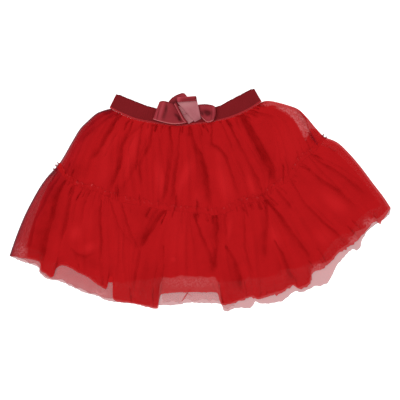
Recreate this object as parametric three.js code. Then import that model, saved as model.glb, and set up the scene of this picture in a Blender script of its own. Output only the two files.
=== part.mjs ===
// A child's tulle skirt laid flat on a table, front side up. An elastic waistband carries a
// gathered upper tier, a ruffle tier is gathered onto the upper tier with a frilled seam, a
// lining hangs inside, and a velvet ribbon bow sits on the front of the waistband.
// Millimetres. +Z is up, +Y runs from the hem to the waist, +X is to the right of the front.
// The origin is on the table, under the middle of the skirt's box.
import * as THREE from "three";

// Driving dimensions
const NET_WALL = 1.2; // a layer of tulle
const FOLDED_WALL = 1.6; // gathered tulle, measured straight up through the slopes of its folds
const LINING_WALL = 1.0;
const ELASTIC_WALL = 2.0;
const RIBBON_WALL = 1.0;
const GAP = 0.3; // between pieces that touch or are sewn together
const BAND_SLIT = 0.6; // between the front and back of the flattened waistband
const FRILL_WIDTH = 8.0; // raw edges that stand up along the tier seam
const FRILL_FLARE = 3.6; // how far the frill's free edge lifts off the cloth
const FRILL_WAVE = 1.8;
const COLUMNS_PER_FOLD = 6;
const UPPER_TIER_LENGTH = 148; // at the middle of the front

// Heights of the layers above the table
const BACK_TOP = NET_WALL;
const LINING_BACK_BASE = BACK_TOP + GAP;
const LINING_FRONT_BASE = LINING_BACK_BASE + LINING_WALL + GAP;
const FRONT_BASE = LINING_FRONT_BASE + LINING_WALL + GAP; // over the lining
const SIDE_BASE = BACK_TOP + GAP; // past the lining, where front meets back
const BAND_TOP_Z = 2 * ELASTIC_WALL + BAND_SLIT;

// Outlines of the skirt as it lies, seen from above
const BAND_UPPER_EDGE = [
  { x: -135, y: 173.3 },
  { x: -107.3, y: 161.7 },
  { x: -73.4, y: 150.2 },
  { x: -27.2, y: 145.2 },
  { x: 23.9, y: 151.3 },
  { x: 51, y: 164 },
  { x: 86.3, y: 182.5 },
];
const BAND_LOWER_EDGE = [
  { x: -146.9, y: 149.3 },
  { x: -122.4, y: 137.1 },
  { x: -97.2, y: 128.7 },
  { x: -40.4, y: 121.1 },
  { x: -7.4, y: 123.3 },
  { x: 27.2, y: 128.4 },
  { x: 54.3, y: 135.3 },
  { x: 79.7, y: 146.4 },
  { x: 99.8, y: 159.2 },
];
const TIER_SEAM = [
  { x: -233.5, y: 55.3 },
  { x: -220.3, y: 36.7 },
  { x: -197.2, y: 21.5 },
  { x: -164.2, y: 12.4 },
  { x: -132.8, y: -1.7 },
  { x: -98.2, y: -8.3 },
  { x: -61.9, y: -14.9 },
  { x: -28.9, y: -19 },
  { x: 0.8, y: -21.5 },
  { x: 25.6, y: -24.8 },
  { x: 50.3, y: -18.2 },
  { x: 68.5, y: -6.6 },
  { x: 103.1, y: 0 },
  { x: 122.9, y: 19.8 },
  { x: 147.7, y: 34.7 },
  { x: 165.8, y: 62.7 },
  { x: 187.3, y: 80.9 },
  { x: 203.8, y: 102.3 },
];
const LEFT_SIDE_UPPER = [
  { x: -146.9, y: 148.5 },
  { x: -157.6, y: 145.9 },
  { x: -170.8, y: 140.3 },
  { x: -184, y: 128.7 },
  { x: -197.2, y: 115.5 },
  { x: -210.4, y: 94.1 },
  { x: -223.6, y: 71 },
  { x: -233.5, y: 55.3 },
];
const RIGHT_SIDE_UPPER = [
  { x: 100.4, y: 157.6 },
  { x: 107.4, y: 160.2 },
  { x: 119.6, y: 160.1 },
  { x: 146, y: 153.5 },
  { x: 162.5, y: 146.9 },
  { x: 175.7, y: 134.5 },
  { x: 188.9, y: 118.8 },
  { x: 203.8, y: 102.3 },
];
const LEFT_SIDE_RUFFLE = [
  { x: -233.5, y: 55.3 },
  { x: -250, y: 38 },
  { x: -263.2, y: 19.8 },
  { x: -276.4, y: -3.3 },
  { x: -289.6, y: -29.7 },
  { x: -302.8, y: -62.7 },
  { x: -313.3, y: -93.1 },
];
const RIGHT_SIDE_RUFFLE = [
  { x: 203.8, y: 102.3 },
  { x: 225.2, y: 94 },
  { x: 245, y: 75.9 },
  { x: 264.8, y: 52.8 },
  { x: 284.6, y: 26.4 },
  { x: 301.1, y: 5 },
  { x: 313.7, y: -14 },
];
const HEM_FRONT = [
  { x: -313.3, y: -93.1 },
  { x: -287.9, y: -96.5 },
  { x: -264, y: -103.1 },
  { x: -261.5, y: -115.8 },
  { x: -252.4, y: -122.9 },
  { x: -245, y: -128.5 },
  { x: -240.1, y: -126.2 },
  { x: -237.6, y: -117.1 },
  { x: -232.5, y: -110.9 },
  { x: -224.9, y: -108.9 },
  { x: -213.7, y: -112.2 },
  { x: -201, y: -119.6 },
  { x: -184.6, y: -127.9 },
  { x: -169.5, y: -138.6 },
  { x: -158.1, y: -146.2 },
  { x: -152.6, y: -145.2 },
  { x: -150.2, y: -136.9 },
  { x: -145.7, y: -134 },
  { x: -143.4, y: -140.2 },
  { x: -142.4, y: -163.3 },
  { x: -131.2, y: -168.6 },
  { x: -112.2, y: -170.8 },
  { x: -90.8, y: -175.9 },
  { x: -70.5, y: -180 },
  { x: -67.8, y: -171.6 },
  { x: -65.2, y: -159.1 },
  { x: -60.2, y: -155.1 },
  { x: -42.7, y: -153.4 },
  { x: -23.9, y: -152.6 },
  { x: 0.8, y: -152.6 },
  { x: 24.9, y: -153.1 },
  { x: 29.9, y: -156.8 },
  { x: 33.2, y: -168.3 },
  { x: 37.9, y: -173.9 },
  { x: 50.7, y: -171.8 },
  { x: 66.8, y: -166.6 },
  { x: 85.5, y: -160.5 },
  { x: 95.2, y: -164.7 },
  { x: 114.2, y: -159.4 },
  { x: 136, y: -153.4 },
  { x: 146, y: -145.2 },
  { x: 155.3, y: -141.9 },
  { x: 160.5, y: -146.8 },
  { x: 169.1, y: -145.9 },
  { x: 179.8, y: -140.1 },
  { x: 182.3, y: -132 },
  { x: 186.6, y: -120.1 },
  { x: 203.4, y: -113.2 },
  { x: 220.3, y: -96.2 },
  { x: 230.3, y: -86.1 },
  { x: 245.5, y: -77.7 },
  { x: 255.6, y: -71 },
  { x: 272.4, y: -52.5 },
  { x: 286.9, y: -37 },
  { x: 294.4, y: -38.9 },
  { x: 302.8, y: -30.4 },
  { x: 313.7, y: -14 },
];
const HEM_BACK = [
  { x: -313.3, y: -93.1 },
  { x: -287.9, y: -103.9 },
  { x: -266.1, y: -111.5 },
  { x: -264.2, y: -119.6 },
  { x: -258.9, y: -126.1 },
  { x: -250, y: -131.3 },
  { x: -232.5, y: -134.1 },
  { x: -211, y: -143.5 },
  { x: -188.4, y: -153.8 },
  { x: -169.5, y: -158.7 },
  { x: -153, y: -166.3 },
  { x: -131.5, y: -169.6 },
  { x: -90.8, y: -173.2 },
  { x: -68, y: -174.2 },
  { x: -34, y: -173.1 },
  { x: -23.9, y: -170.4 },
  { x: 0.8, y: -170.4 },
  { x: 31, y: -171.8 },
  { x: 36, y: -174.9 },
  { x: 38.8, y: -182.8 },
  { x: 46.2, y: -184 },
  { x: 55.6, y: -179.7 },
  { x: 73.8, y: -178.7 },
  { x: 81.7, y: -178.5 },
  { x: 87.9, y: -172.9 },
  { x: 91.6, y: -167.6 },
  { x: 98.2, y: -171.3 },
  { x: 114.2, y: -171.3 },
  { x: 131, y: -168.6 },
  { x: 139.4, y: -164.5 },
  { x: 147.8, y: -156.9 },
  { x: 157.6, y: -151.1 },
  { x: 164.2, y: -153.1 },
  { x: 173.1, y: -151 },
  { x: 186.6, y: -143.4 },
  { x: 203.4, y: -140.6 },
  { x: 211.9, y: -135 },
  { x: 218.5, y: -123.3 },
  { x: 226.9, y: -106.4 },
  { x: 240.4, y: -91.2 },
  { x: 249, y: -82.2 },
  { x: 258.1, y: -83.5 },
  { x: 264, y: -78.5 },
  { x: 266.5, y: -67.6 },
  { x: 275.7, y: -52.5 },
  { x: 287.6, y: -42.4 },
  { x: 301.9, y: -33.3 },
  { x: 312, y: -23.1 },
  { x: 313.7, y: -14 },
];

// Troughs between the folds of the upper tier: where each starts on the waistband, where it
// ends on the tier seam, how far it bows to the right half way, and how high the fold to its
// right stands
const UPPER_FOLDS = [
  { waist: -146.9, seam: -233.5, bend: 0, rise: 3 },
  { waist: -142, seam: -224, bend: 0, rise: 4 },
  { waist: -138, seam: -216, bend: 0, rise: 5 },
  { waist: -133.6, seam: -207, bend: 2, rise: 9 },
  { waist: -131, seam: -190, bend: 3, rise: 6 },
  { waist: -128, seam: -170, bend: 4, rise: 7 },
  { waist: -124.6, seam: -148.5, bend: 8, rise: 8 },
  { waist: -116, seam: -133, bend: 3, rise: 6 },
  { waist: -107, seam: -118, bend: 0, rise: 7 },
  { waist: -96, seam: -101, bend: 0, rise: 7 },
  { waist: -86, seam: -91, bend: 0, rise: 5 },
  { waist: -76, seam: -82, bend: 0, rise: 6 },
  { waist: -65, seam: -75, bend: 0, rise: 5 },
  { waist: -54, seam: -68, bend: 0, rise: 5 },
  { waist: -43, seam: -62, bend: 2, rise: 9 },
  { waist: -35, seam: -45, bend: 0, rise: 7 },
  { waist: -27, seam: -30, bend: 0, rise: 6 },
  { waist: -19, seam: -14, bend: 0, rise: 7 },
  { waist: -11, seam: 2, bend: 0, rise: 6 },
  { waist: -4, seam: 24, bend: 0, rise: 10 },
  { waist: 4, seam: 38, bend: 0, rise: 6 },
  { waist: 11, seam: 54, bend: 0, rise: 7 },
  { waist: 20, seam: 73, bend: 0, rise: 7 },
  { waist: 31, seam: 84, bend: 0, rise: 8 },
  { waist: 44, seam: 104, bend: 0, rise: 7 },
  { waist: 55, seam: 107, bend: 13, rise: 7 },
  { waist: 66, seam: 110, bend: 26, rise: 11 },
  { waist: 77, seam: 135, bend: 8, rise: 8 },
  { waist: 84, seam: 152, bend: 4, rise: 7 },
  { waist: 90, seam: 168, bend: 2, rise: 7 },
  { waist: 94, seam: 181, bend: 0, rise: 6 },
  { waist: 97, seam: 190, bend: 1, rise: 4 },
  { waist: 98.5, seam: 197, bend: 0, rise: 3 },
  { waist: 99.8, seam: 203.8, bend: 0, rise: 0 },
];

// Troughs between the folds of the ruffle, from the tier seam to the hem
const RUFFLE_FOLDS = [
  { seam: -233.5, hem: -313.3, bend: 0, rise: 3 },
  { seam: -232, hem: -300, bend: 0, rise: 3 },
  { seam: -231, hem: -284, bend: 0, rise: 5 },
  { seam: -229.5, hem: -262, bend: 4, rise: 12 },
  { seam: -210, hem: -248, bend: 2, rise: 6 },
  { seam: -199, hem: -235, bend: 2, rise: 9 },
  { seam: -191, hem: -217, bend: 2, rise: 7 },
  { seam: -184, hem: -198, bend: 3, rise: 8 },
  { seam: -173, hem: -187, bend: 5, rise: 6 },
  { seam: -162.5, hem: -176, bend: 10, rise: 10 },
  { seam: -154, hem: -158, bend: 8, rise: 7 },
  { seam: -148, hem: -145, bend: 6, rise: 9 },
  { seam: -143, hem: -121, bend: 7, rise: 7 },
  { seam: -128, hem: -116, bend: 10, rise: 5 },
  { seam: -104, hem: -114, bend: 2, rise: 5 },
  { seam: -80, hem: -111.7, bend: -6, rise: 5 },
  { seam: -55, hem: -109.5, bend: -14, rise: 13 },
  { seam: -51, hem: -90, bend: -8, rise: 8 },
  { seam: -47, hem: -70, bend: -2, rise: 9 },
  { seam: -38, hem: -52, bend: 0, rise: 6 },
  { seam: -28, hem: -34, bend: 0, rise: 7 },
  { seam: -18.5, hem: -15, bend: 0, rise: 6 },
  { seam: -14, hem: 10, bend: 2, rise: 8 },
  { seam: -9, hem: 36, bend: 4, rise: 6 },
  { seam: 8, hem: 38, bend: 0, rise: 5 },
  { seam: 24, hem: 40, bend: -6, rise: 11 },
  { seam: 34, hem: 55, bend: -6, rise: 8 },
  { seam: 44, hem: 72, bend: -10, rise: 10 },
  { seam: 55, hem: 80, bend: -3, rise: 6 },
  { seam: 65, hem: 88, bend: 3, rise: 8 },
  { seam: 80, hem: 100, bend: 3, rise: 7 },
  { seam: 95, hem: 113, bend: 3, rise: 8 },
  { seam: 97.5, hem: 136, bend: 2, rise: 9 },
  { seam: 100, hem: 158, bend: 0, rise: 8 },
  { seam: 102, hem: 173, bend: 0, rise: 7 },
  { seam: 104.5, hem: 187, bend: 0, rise: 12 },
  { seam: 116, hem: 201, bend: 0, rise: 8 },
  { seam: 128, hem: 216, bend: 0, rise: 8 },
  { seam: 136, hem: 229, bend: 0, rise: 7 },
  { seam: 143, hem: 243, bend: 0, rise: 11 },
  { seam: 155, hem: 264, bend: 0, rise: 8 },
  { seam: 166, hem: 284, bend: 0, rise: 9 },
  { seam: 174, hem: 294, bend: 0, rise: 6 },
  { seam: 183, hem: 303, bend: 0, rise: 6 },
  { seam: 194, hem: 309, bend: 0, rise: 4 },
  { seam: 203.8, hem: 313.7, bend: 0, rise: 0 },
];

// How each tier's folds grow: the share of their height at the gathered edge, the share of the
// length by which they are full, and the height of the fine gathers and where those end
const UPPER_WAVES = { atEdge: 0.25, fullBy: 0.45, gather: 1.4, gatherGoneBy: 0.4 };
const RUFFLE_WAVES = { atEdge: 0.45, fullBy: 0.6, gather: 1.6, gatherGoneBy: 0.5 };
const STEEPEST_FOLD = 0.42; // a fold's height as a share of its width, at most

// The lining's distance inside each side, as a share of the width, from the waist (0) past
// the tier seam (1) to the hem (2)
const LINING_MARGINS = [
  { down: 0, left: 0.02, right: 0.02 },
  { down: 0.3, left: 0.02, right: 0.03 },
  { down: 0.7, left: 0.02, right: 0.05 },
  { down: 1, left: 0.02, right: 0.03 },
  { down: 1.5, left: 0.027, right: 0.02 },
  { down: 2, left: 0.034, right: 0.02 },
];
// Where the lining ends, as a share of the ruffle's length, from its left to its right side
const LINING_HEM = [
  { step: 0, share: 0.84 },
  { step: 0.15, share: 0.81 },
  { step: 0.25, share: 0.82 },
  { step: 0.35, share: 0.73 },
  { step: 0.55, share: 0.73 },
  { step: 0.75, share: 0.78 },
  { step: 1, share: 0.86 },
];
const LANDING_START = 5; // the front comes down between these distances past the lining
const LANDING_END = 13;

// Rows of points down each tier, as shares of its length
const UPPER_ROWS = [0, 0.1, 0.32, 0.66, 1 - FRILL_WIDTH / UPPER_TIER_LENGTH, 1];
const RUFFLE_ROWS = [0, 0.08, 0.26, 0.5, 0.76, 1];
const BACK_ROWS = [0, 0.5, 1];
const BACK_COLUMNS = 72;
const LINING_COLUMNS = 34;
const LINING_UPPER_ROWS = [0, 0.3, 0.65];
const LINING_RUFFLE_ROWS = [0, 0.5, 1]; // shares of its length below the tier seam
const FRILL_ROWS = UPPER_ROWS.slice(-2);

// Colours
const TULLE_RED = 0xb8141b;
const LINING_RED = 0xa80f16;
const BAND_MAROON = 0x7b1b20;
const VELVET_ROSE = 0x8f2c36;
const RIBBON_REVERSE = 0xae6a71;

const cloth = (color, roughness) =>
  new THREE.MeshStandardMaterial({ color, roughness, metalness: 0 });
const tulle = cloth(TULLE_RED, 0.75);
const liningCloth = cloth(LINING_RED, 0.9);
const elastic = cloth(BAND_MAROON, 0.85);
const velvet = cloth(VELVET_ROSE, 0.6);
const reverse = cloth(RIBBON_REVERSE, 0.7);

// A value read from a table's rows, straight between them
function readTable(rows, key, at, column) {
  if (at <= rows[0][key]) return rows[0][column];
  for (let i = 1; i < rows.length; i++) {
    if (at <= rows[i][key]) {
      const share = (at - rows[i - 1][key]) / (rows[i][key] - rows[i - 1][key]);
      return rows[i - 1][column] * (1 - share) + rows[i][column] * share;
    }
  }
  return rows[rows.length - 1][column];
}

function smooth(from, to, value) {
  const t = Math.min(1, Math.max(0, (value - from) / (to - from)));
  return t * t * (3 - 2 * t);
}

// A smooth outline through a table's points, moved aside to its right hand as it runs, and
// read by its share of the length or by its x
function outline(rows, aside = 0) {
  const curve = new THREE.SplineCurve(rows.map((row) => new THREE.Vector2(row.x, row.y)));
  const STEPS = 600;
  const middle = curve.getSpacedPoints(STEPS);
  const steps = middle.map((point, i) => {
    const ahead = middle[Math.min(STEPS, i + 4)];
    const along = ahead.clone().sub(middle[Math.max(0, i - 4)]).normalize();
    return new THREE.Vector2(point.x + along.y * aside, point.y - along.x * aside);
  });
  const place = (share) => {
    const at = Math.min(1, Math.max(0, share)) * STEPS;
    const before = Math.min(STEPS - 1, Math.floor(at));
    return steps[before].clone().lerp(steps[before + 1], at - before);
  };
  const shareAtX = (x) => {
    const after = steps.findIndex((point) => point.x >= x);
    if (after < 0) return 1;
    if (after === 0) return 0;
    const a = steps[after - 1];
    const b = steps[after];
    return (after - 1 + (x - a.x) / (b.x - a.x)) / STEPS;
  };
  return { place, shareAtX, length: curve.getLength() };
}

// A sheet spanned by four outlines: across is the share from left to right, down the share
// from the top outline to the bottom one
function spanned(top, bottom, left, right) {
  const corners = [left.place(0), right.place(0), left.place(1), right.place(1)];
  return (across, down) => {
    const mix = (a, b, c, d) =>
      a * (1 - across) * (1 - down) +
      b * across * (1 - down) +
      c * (1 - across) * down +
      d * across * down;
    const t = top.place(across);
    const b = bottom.place(across);
    const l = left.place(down);
    const r = right.place(down);
    const at = (axis) =>
      t[axis] * (1 - down) +
      b[axis] * down +
      l[axis] * (1 - across) +
      r[axis] * across -
      mix(...corners.map((corner) => corner[axis]));
    return new THREE.Vector2(at("x"), at("y"));
  };
}

const waistLine = outline(BAND_LOWER_EDGE, GAP);
const seamAbove = outline(TIER_SEAM, -GAP / 2);
const seamBelow = outline(TIER_SEAM, GAP / 2);
const hemFront = outline(HEM_FRONT);
const hemBack = outline(HEM_BACK);
const upperSides = [outline(LEFT_SIDE_UPPER), outline(RIGHT_SIDE_UPPER)];
const ruffleSides = [outline(LEFT_SIDE_RUFFLE), outline(RIGHT_SIDE_RUFFLE)];
const upperPlan = spanned(waistLine, seamAbove, ...upperSides);
const ruffleFrontPlan = spanned(seamBelow, hemFront, ...ruffleSides);
const ruffleBackPlan = spanned(seamBelow, hemBack, ...ruffleSides);

// Turns a table of folds into columns of points, each with its fold's troughs to the left and
// right and its place between them from 0 to 1
function foldColumns(folds, topKey, topLine, bottomKey, bottomLine) {
  const width = (topLine.length + bottomLine.length) / 2;
  const troughs = folds.map((fold) => ({
    top: topLine.shareAtX(fold[topKey]),
    bottom: bottomLine.shareAtX(fold[bottomKey]),
    bend: fold.bend / width,
    rise: fold.rise,
  }));
  const last = troughs.length - 1;
  Object.assign(troughs[0], { top: 0, bottom: 0 });
  Object.assign(troughs[last], { top: 1, bottom: 1 });
  const columns = [];
  for (let i = 0; i < last; i++) {
    for (let k = 0; k < COLUMNS_PER_FOLD; k++) {
      columns.push({ left: troughs[i], right: troughs[i + 1], turn: k / COLUMNS_PER_FOLD });
    }
  }
  columns.push({ left: troughs[last - 1], right: troughs[last], turn: 1 });
  return columns;
}

const upperColumns = foldColumns(UPPER_FOLDS, "waist", waistLine, "seam", seamAbove);
const ruffleColumns = foldColumns(RUFFLE_FOLDS, "seam", seamBelow, "hem", hemFront);
const troughAt = (trough, down) =>
  trough.top * (1 - down) + trough.bottom * down + trough.bend * 4 * down * (1 - down);
const acrossAt = (column, down) =>
  troughAt(column.left, down) * (1 - column.turn) + troughAt(column.right, down) * column.turn;

// The lining's share of the width at a step from its left side to its right side
function liningAcross(step, down) {
  const left = readTable(LINING_MARGINS, "down", down, "left");
  const right = readTable(LINING_MARGINS, "down", down, "right");
  return left + (1 - left - right) * step;
}

// The lining's two sides, carried on past its hem and off the skirt
const SIDE_STEPS = 16;
const OFF_SKIRT = -400;
const liningSides = [0, 1].map((step) => {
  const side = [];
  for (let i = 0; i <= 2 * SIDE_STEPS; i++) {
    const down = i / SIDE_STEPS;
    const across = liningAcross(step, down);
    side.push(down < 1 ? upperPlan(across, down) : ruffleBackPlan(across, down - 1));
  }
  side.push(new THREE.Vector2(side[side.length - 1].x, OFF_SKIRT));
  return side;
});
const liningRing = [...liningSides[0], ...liningSides[1].toReversed()];

function isWithin(place, ring) {
  let within = false;
  ring.forEach((a, i) => {
    const b = ring[(i + 1) % ring.length];
    if (a.y > place.y === b.y > place.y) return;
    const crossing = a.x + ((b.x - a.x) * (place.y - a.y)) / (b.y - a.y);
    if (place.x < crossing) within = !within;
  });
  return within;
}

// How far a place lies outside the nearer side of the lining, or 0 within it
function pastLining(place) {
  if (isWithin(place, liningRing)) return 0;
  const lengths = liningSides.flatMap((side) =>
    side.slice(1).map((end, i) => {
      const along = end.clone().sub(side[i]);
      const from = place.clone().sub(side[i]);
      const share = Math.min(1, Math.max(0, from.dot(along) / along.lengthSq()));
      return from.addScaledVector(along, -share).length();
    }),
  );
  return Math.min(...lengths);
}

// The front's lowest height: over the lining, and lower past its sides
function frontBase(place) {
  const past = smooth(LANDING_START, LANDING_END, pastLining(place));
  return FRONT_BASE + (SIDE_BASE - FRONT_BASE) * past;
}

// How high a fold stands at a share of its tier's length: the main wave, which grows away from
// the gathered edge, and next to that edge a finer wave with two gathers to each fold
function foldHeight(column, down, plan, waves) {
  const left = plan(troughAt(column.left, down), down);
  const right = plan(troughAt(column.right, down), down);
  const rise = Math.min(column.left.rise, STEEPEST_FOLD * left.distanceTo(right));
  const grown = smooth(0, waves.fullBy, down);
  const fading = 1 - smooth(0, waves.gatherGoneBy, down);
  const main = (1 - Math.cos(2 * Math.PI * column.turn)) / 2;
  const gather = (1 - Math.cos(4 * Math.PI * column.turn)) / 2;
  const mainHeight = rise * (waves.atEdge + (1 - waves.atEdge) * grown);
  return mainHeight * main + Math.min(waves.gather, rise) * fading * gather;
}

function frontPoint(column, down, plan, waves) {
  const place = plan(acrossAt(column, down), down);
  const low = frontBase(place) + foldHeight(column, down, plan, waves);
  return { x: place.x, y: place.y, low, high: low + FOLDED_WALL };
}

const upperFrontPoint = (column, down) => frontPoint(column, down, upperPlan, UPPER_WAVES);
const ruffleFrontPoint = (column, down) =>
  frontPoint(column, down, ruffleFrontPlan, RUFFLE_WAVES);

function flatPoint(plan, across, down, low, wall) {
  const place = plan(across, down);
  return { x: place.x, y: place.y, low, high: low + wall };
}

// The frill lies on the upper tier's last rows, made from the tier's points and moved up
function frillPoint(column, index, down) {
  const under = upperFrontPoint(column, down);
  const free = down < 1 ? 1 : 0;
  const wave = index % 2 ? FRILL_WAVE : 0;
  const low = under.high + GAP + free * (FRILL_FLARE - FRILL_WAVE + wave);
  return { x: under.x, y: under.y, low, high: low + NET_WALL };
}

function liningPoint(step, row, base) {
  const share = row.tier ? row.share * readTable(LINING_HEM, "step", step, "share") : row.share;
  const across = liningAcross(step, row.tier + share);
  const plan = row.tier ? ruffleBackPlan : upperPlan;
  return flatPoint(plan, across, share, base, LINING_WALL);
}

// A closed body from a grid of rows and columns of places, each with a low and a high face
function slab(rowCount, columnCount, pointAt) {
  const positions = [];
  for (let row = 0; row < rowCount; row++) {
    for (let column = 0; column < columnCount; column++) {
      const point = pointAt(row, column);
      positions.push(point.x, point.y, point.high, point.x, point.y, point.low);
    }
  }
  const high = (row, column) => 2 * (row * columnCount + column);
  const low = (row, column) => high(row, column) + 1;
  const faces = [];
  const quad = (a, b, c, d) => faces.push(a, b, c, a, c, d);
  for (let row = 0; row + 1 < rowCount; row++) {
    for (let column = 0; column + 1 < columnCount; column++) {
      const around = [
        [row, column],
        [row + 1, column],
        [row + 1, column + 1],
        [row, column + 1],
      ];
      quad(...around.map(([r, c]) => high(r, c)));
      const [a, b, c, d] = around.map(([r, k]) => low(r, k));
      faces.push(a, c, b, a, d, c);
    }
  }
  const rim = [];
  for (let row = 0; row + 1 < rowCount; row++) rim.push([row, 0]);
  for (let column = 0; column + 1 < columnCount; column++) rim.push([rowCount - 1, column]);
  for (let row = rowCount - 1; row > 0; row--) rim.push([row, columnCount - 1]);
  for (let column = columnCount - 1; column > 0; column--) rim.push([0, column]);
  rim.forEach((from, i) => {
    const to = rim[(i + 1) % rim.length];
    quad(high(...from), low(...from), low(...to), high(...to));
  });
  return solid(positions, faces);
}

// A closed wall from a run of stations, each a ring of points that goes along the outer face
// and comes back along the inner one; an open run gets an end face at each end
function wall(stations, closed) {
  const positions = stations.flatMap((ring) => ring.flatMap((point) => point.toArray()));
  const size = stations[0].length;
  const faces = [];
  const count = stations.length;
  const last = closed ? count : count - 1;
  for (let i = 0; i < last; i++) {
    const here = size * i;
    const next = size * ((i + 1) % count);
    for (let side = 0; side < size; side++) {
      const other = (side + 1) % size;
      faces.push(here + side, here + other, next + other);
      faces.push(here + side, next + other, next + side);
    }
  }
  if (!closed) {
    const end = size * (count - 1);
    for (let k = 0; k + 1 < size / 2; k++) {
      const back = size - 1 - k;
      faces.push(k, back - 1, k + 1, k, back, back - 1);
      faces.push(end + k, end + k + 1, end + back - 1, end + k, end + back - 1, end + back);
    }
  }
  return solid(positions, faces);
}

function solid(positions, faces) {
  const geometry = new THREE.BufferGeometry();
  geometry.setAttribute("position", new THREE.Float32BufferAttribute(positions, 3));
  geometry.setIndex(faces);
  if (volumeOf(positions, faces) < 0) {
    geometry.setIndex(faces.map((_, i) => faces[i - (i % 3) + [0, 2, 1][i % 3]]));
  }
  geometry.computeVertexNormals();
  return geometry;
}

function volumeOf(positions, faces) {
  const corner = (i) => new THREE.Vector3().fromArray(positions, 3 * faces[i]);
  let sum = 0;
  for (let i = 0; i < faces.length; i += 3) {
    sum += corner(i).dot(corner(i + 1).cross(corner(i + 2)));
  }
  return sum / 6;
}

// The elastic waistband: one loop, flattened, with its front over its back
const BAND_STEPS = 26;
const BAND_FOLD_STEPS = 5;

function waistband() {
  const lower = outline(BAND_LOWER_EDGE);
  const upper = outline(BAND_UPPER_EDGE);
  const half = ELASTIC_WALL / 2;
  const middle = BAND_TOP_Z / 2;
  const reach = middle - half;
  const stations = [];
  const station = (share, outward, angle) => {
    const normal = new THREE.Vector3(outward * Math.cos(angle), 0, Math.sin(angle));
    const edges = [lower, upper].map((edge) => {
      const place = edge.place(share);
      const ahead = edge.place(Math.min(1, share + 0.01));
      const behind = edge.place(Math.max(0, share - 0.01));
      const along = ahead.sub(behind).normalize();
      const out = new THREE.Vector3(along.x * normal.x, along.y * normal.x, normal.z);
      const centre = new THREE.Vector3(place.x, place.y, middle);
      return [reach + half, reach - half].map((far) => centre.clone().addScaledVector(out, far));
    });
    const [first, second] = edges;
    stations.push([first[0], second[0], second[1], first[1]]);
  };
  for (let i = 0; i <= BAND_STEPS; i++) station(i / BAND_STEPS, 1, Math.PI / 2);
  for (let k = 1; k < BAND_FOLD_STEPS; k++) {
    station(1, 1, Math.PI / 2 - (Math.PI * k) / BAND_FOLD_STEPS);
  }
  for (let i = BAND_STEPS; i >= 0; i--) station(i / BAND_STEPS, 1, -Math.PI / 2);
  for (let k = 1; k < BAND_FOLD_STEPS; k++) {
    station(0, -1, -Math.PI / 2 + (Math.PI * k) / BAND_FOLD_STEPS);
  }
  return wall(stations, true);
}

// A stretch of ribbon from a table of sections, each with one edge (a), the middle (m) and
// the other edge (b)
function ribbon(sections, steps) {
  const lines = ["a", "m", "b"].map(
    (line) =>
      new THREE.CatmullRomCurve3(
        sections.map((s) => new THREE.Vector3(s[line + "x"], s[line + "y"], s[line + "z"])),
        false,
        "centripetal",
      ),
  );
  const stations = [];
  for (let i = 0; i <= steps; i++) {
    const points = lines.map((line) => line.getPoint(i / steps));
    const along = lines[1].getTangent(i / steps);
    const sides = points.map((point, k) => {
      const across = points[Math.min(2, k + 1)].clone().sub(points[Math.max(0, k - 1)]);
      const shift = across.cross(along).normalize().multiplyScalar(RIBBON_WALL / 2);
      return [point.clone().add(shift), point.clone().sub(shift)];
    });
    const outer = sides.map((side) => side[0]);
    const inner = sides.map((side) => side[1]);
    stations.push([...outer, ...inner.toReversed()]);
  }
  return wall(stations, false);
}

// The bow's ribbons
const BOW_LOOP_LEFT = [
  { ax: -26, ay: 127, az: 5.7, mx: -33, my: 140, mz: 5.5, bx: -41, by: 152, bz: 5.5 },
  { ax: -46, ay: 124.5, az: 5.5, mx: -48, my: 140, mz: 5.4, bx: -50, by: 155, bz: 5.5 },
  { ax: -66, ay: 128.5, az: 5.8, mx: -63, my: 143, mz: 5.8, bx: -60, by: 158, bz: 6 },
  { ax: -76.2, ay: 131, az: 8.2, mx: -71.5, my: 145.5, mz: 8.6, bx: -66, by: 159.6, bz: 8.6 },
  { ax: -70, ay: 128.6, az: 11.6, mx: -66, my: 144.5, mz: 12.6, bx: -60, by: 160.8, bz: 12.6 },
  { ax: -48, ay: 123.4, az: 13, mx: -49, my: 141, mz: 14.6, bx: -50, by: 158.4, bz: 15 },
  { ax: -34, ay: 123.2, az: 12.4, mx: -38, my: 139, mz: 12, bx: -43, by: 156, bz: 14.6 },
  { ax: -24, ay: 125, az: 10.4, mx: -31, my: 138, mz: 8.8, bx: -39.5, by: 152, bz: 12.6 },
];
const BOW_LOOP_TOP = [
  { ax: -50, ay: 150, az: 6.8, mx: -51, my: 154, mz: 6.9, bx: -53, by: 158, bz: 7.2 },
  { ax: -40, ay: 150, az: 7.4, mx: -43, my: 158, mz: 7.8, bx: -45.5, by: 166.5, bz: 7.6 },
  { ax: -31, ay: 153, az: 8, mx: -33, my: 162, mz: 9.2, bx: -34.5, by: 172.3, bz: 8.6 },
  { ax: -22, ay: 155, az: 8, mx: -24, my: 164, mz: 9.6, bx: -26.5, by: 173.8, bz: 8.8 },
  { ax: -18.5, ay: 155, az: 6.8, mx: -19.5, my: 162, mz: 7.4, bx: -22, by: 169.5, bz: 7.2 },
];
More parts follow.
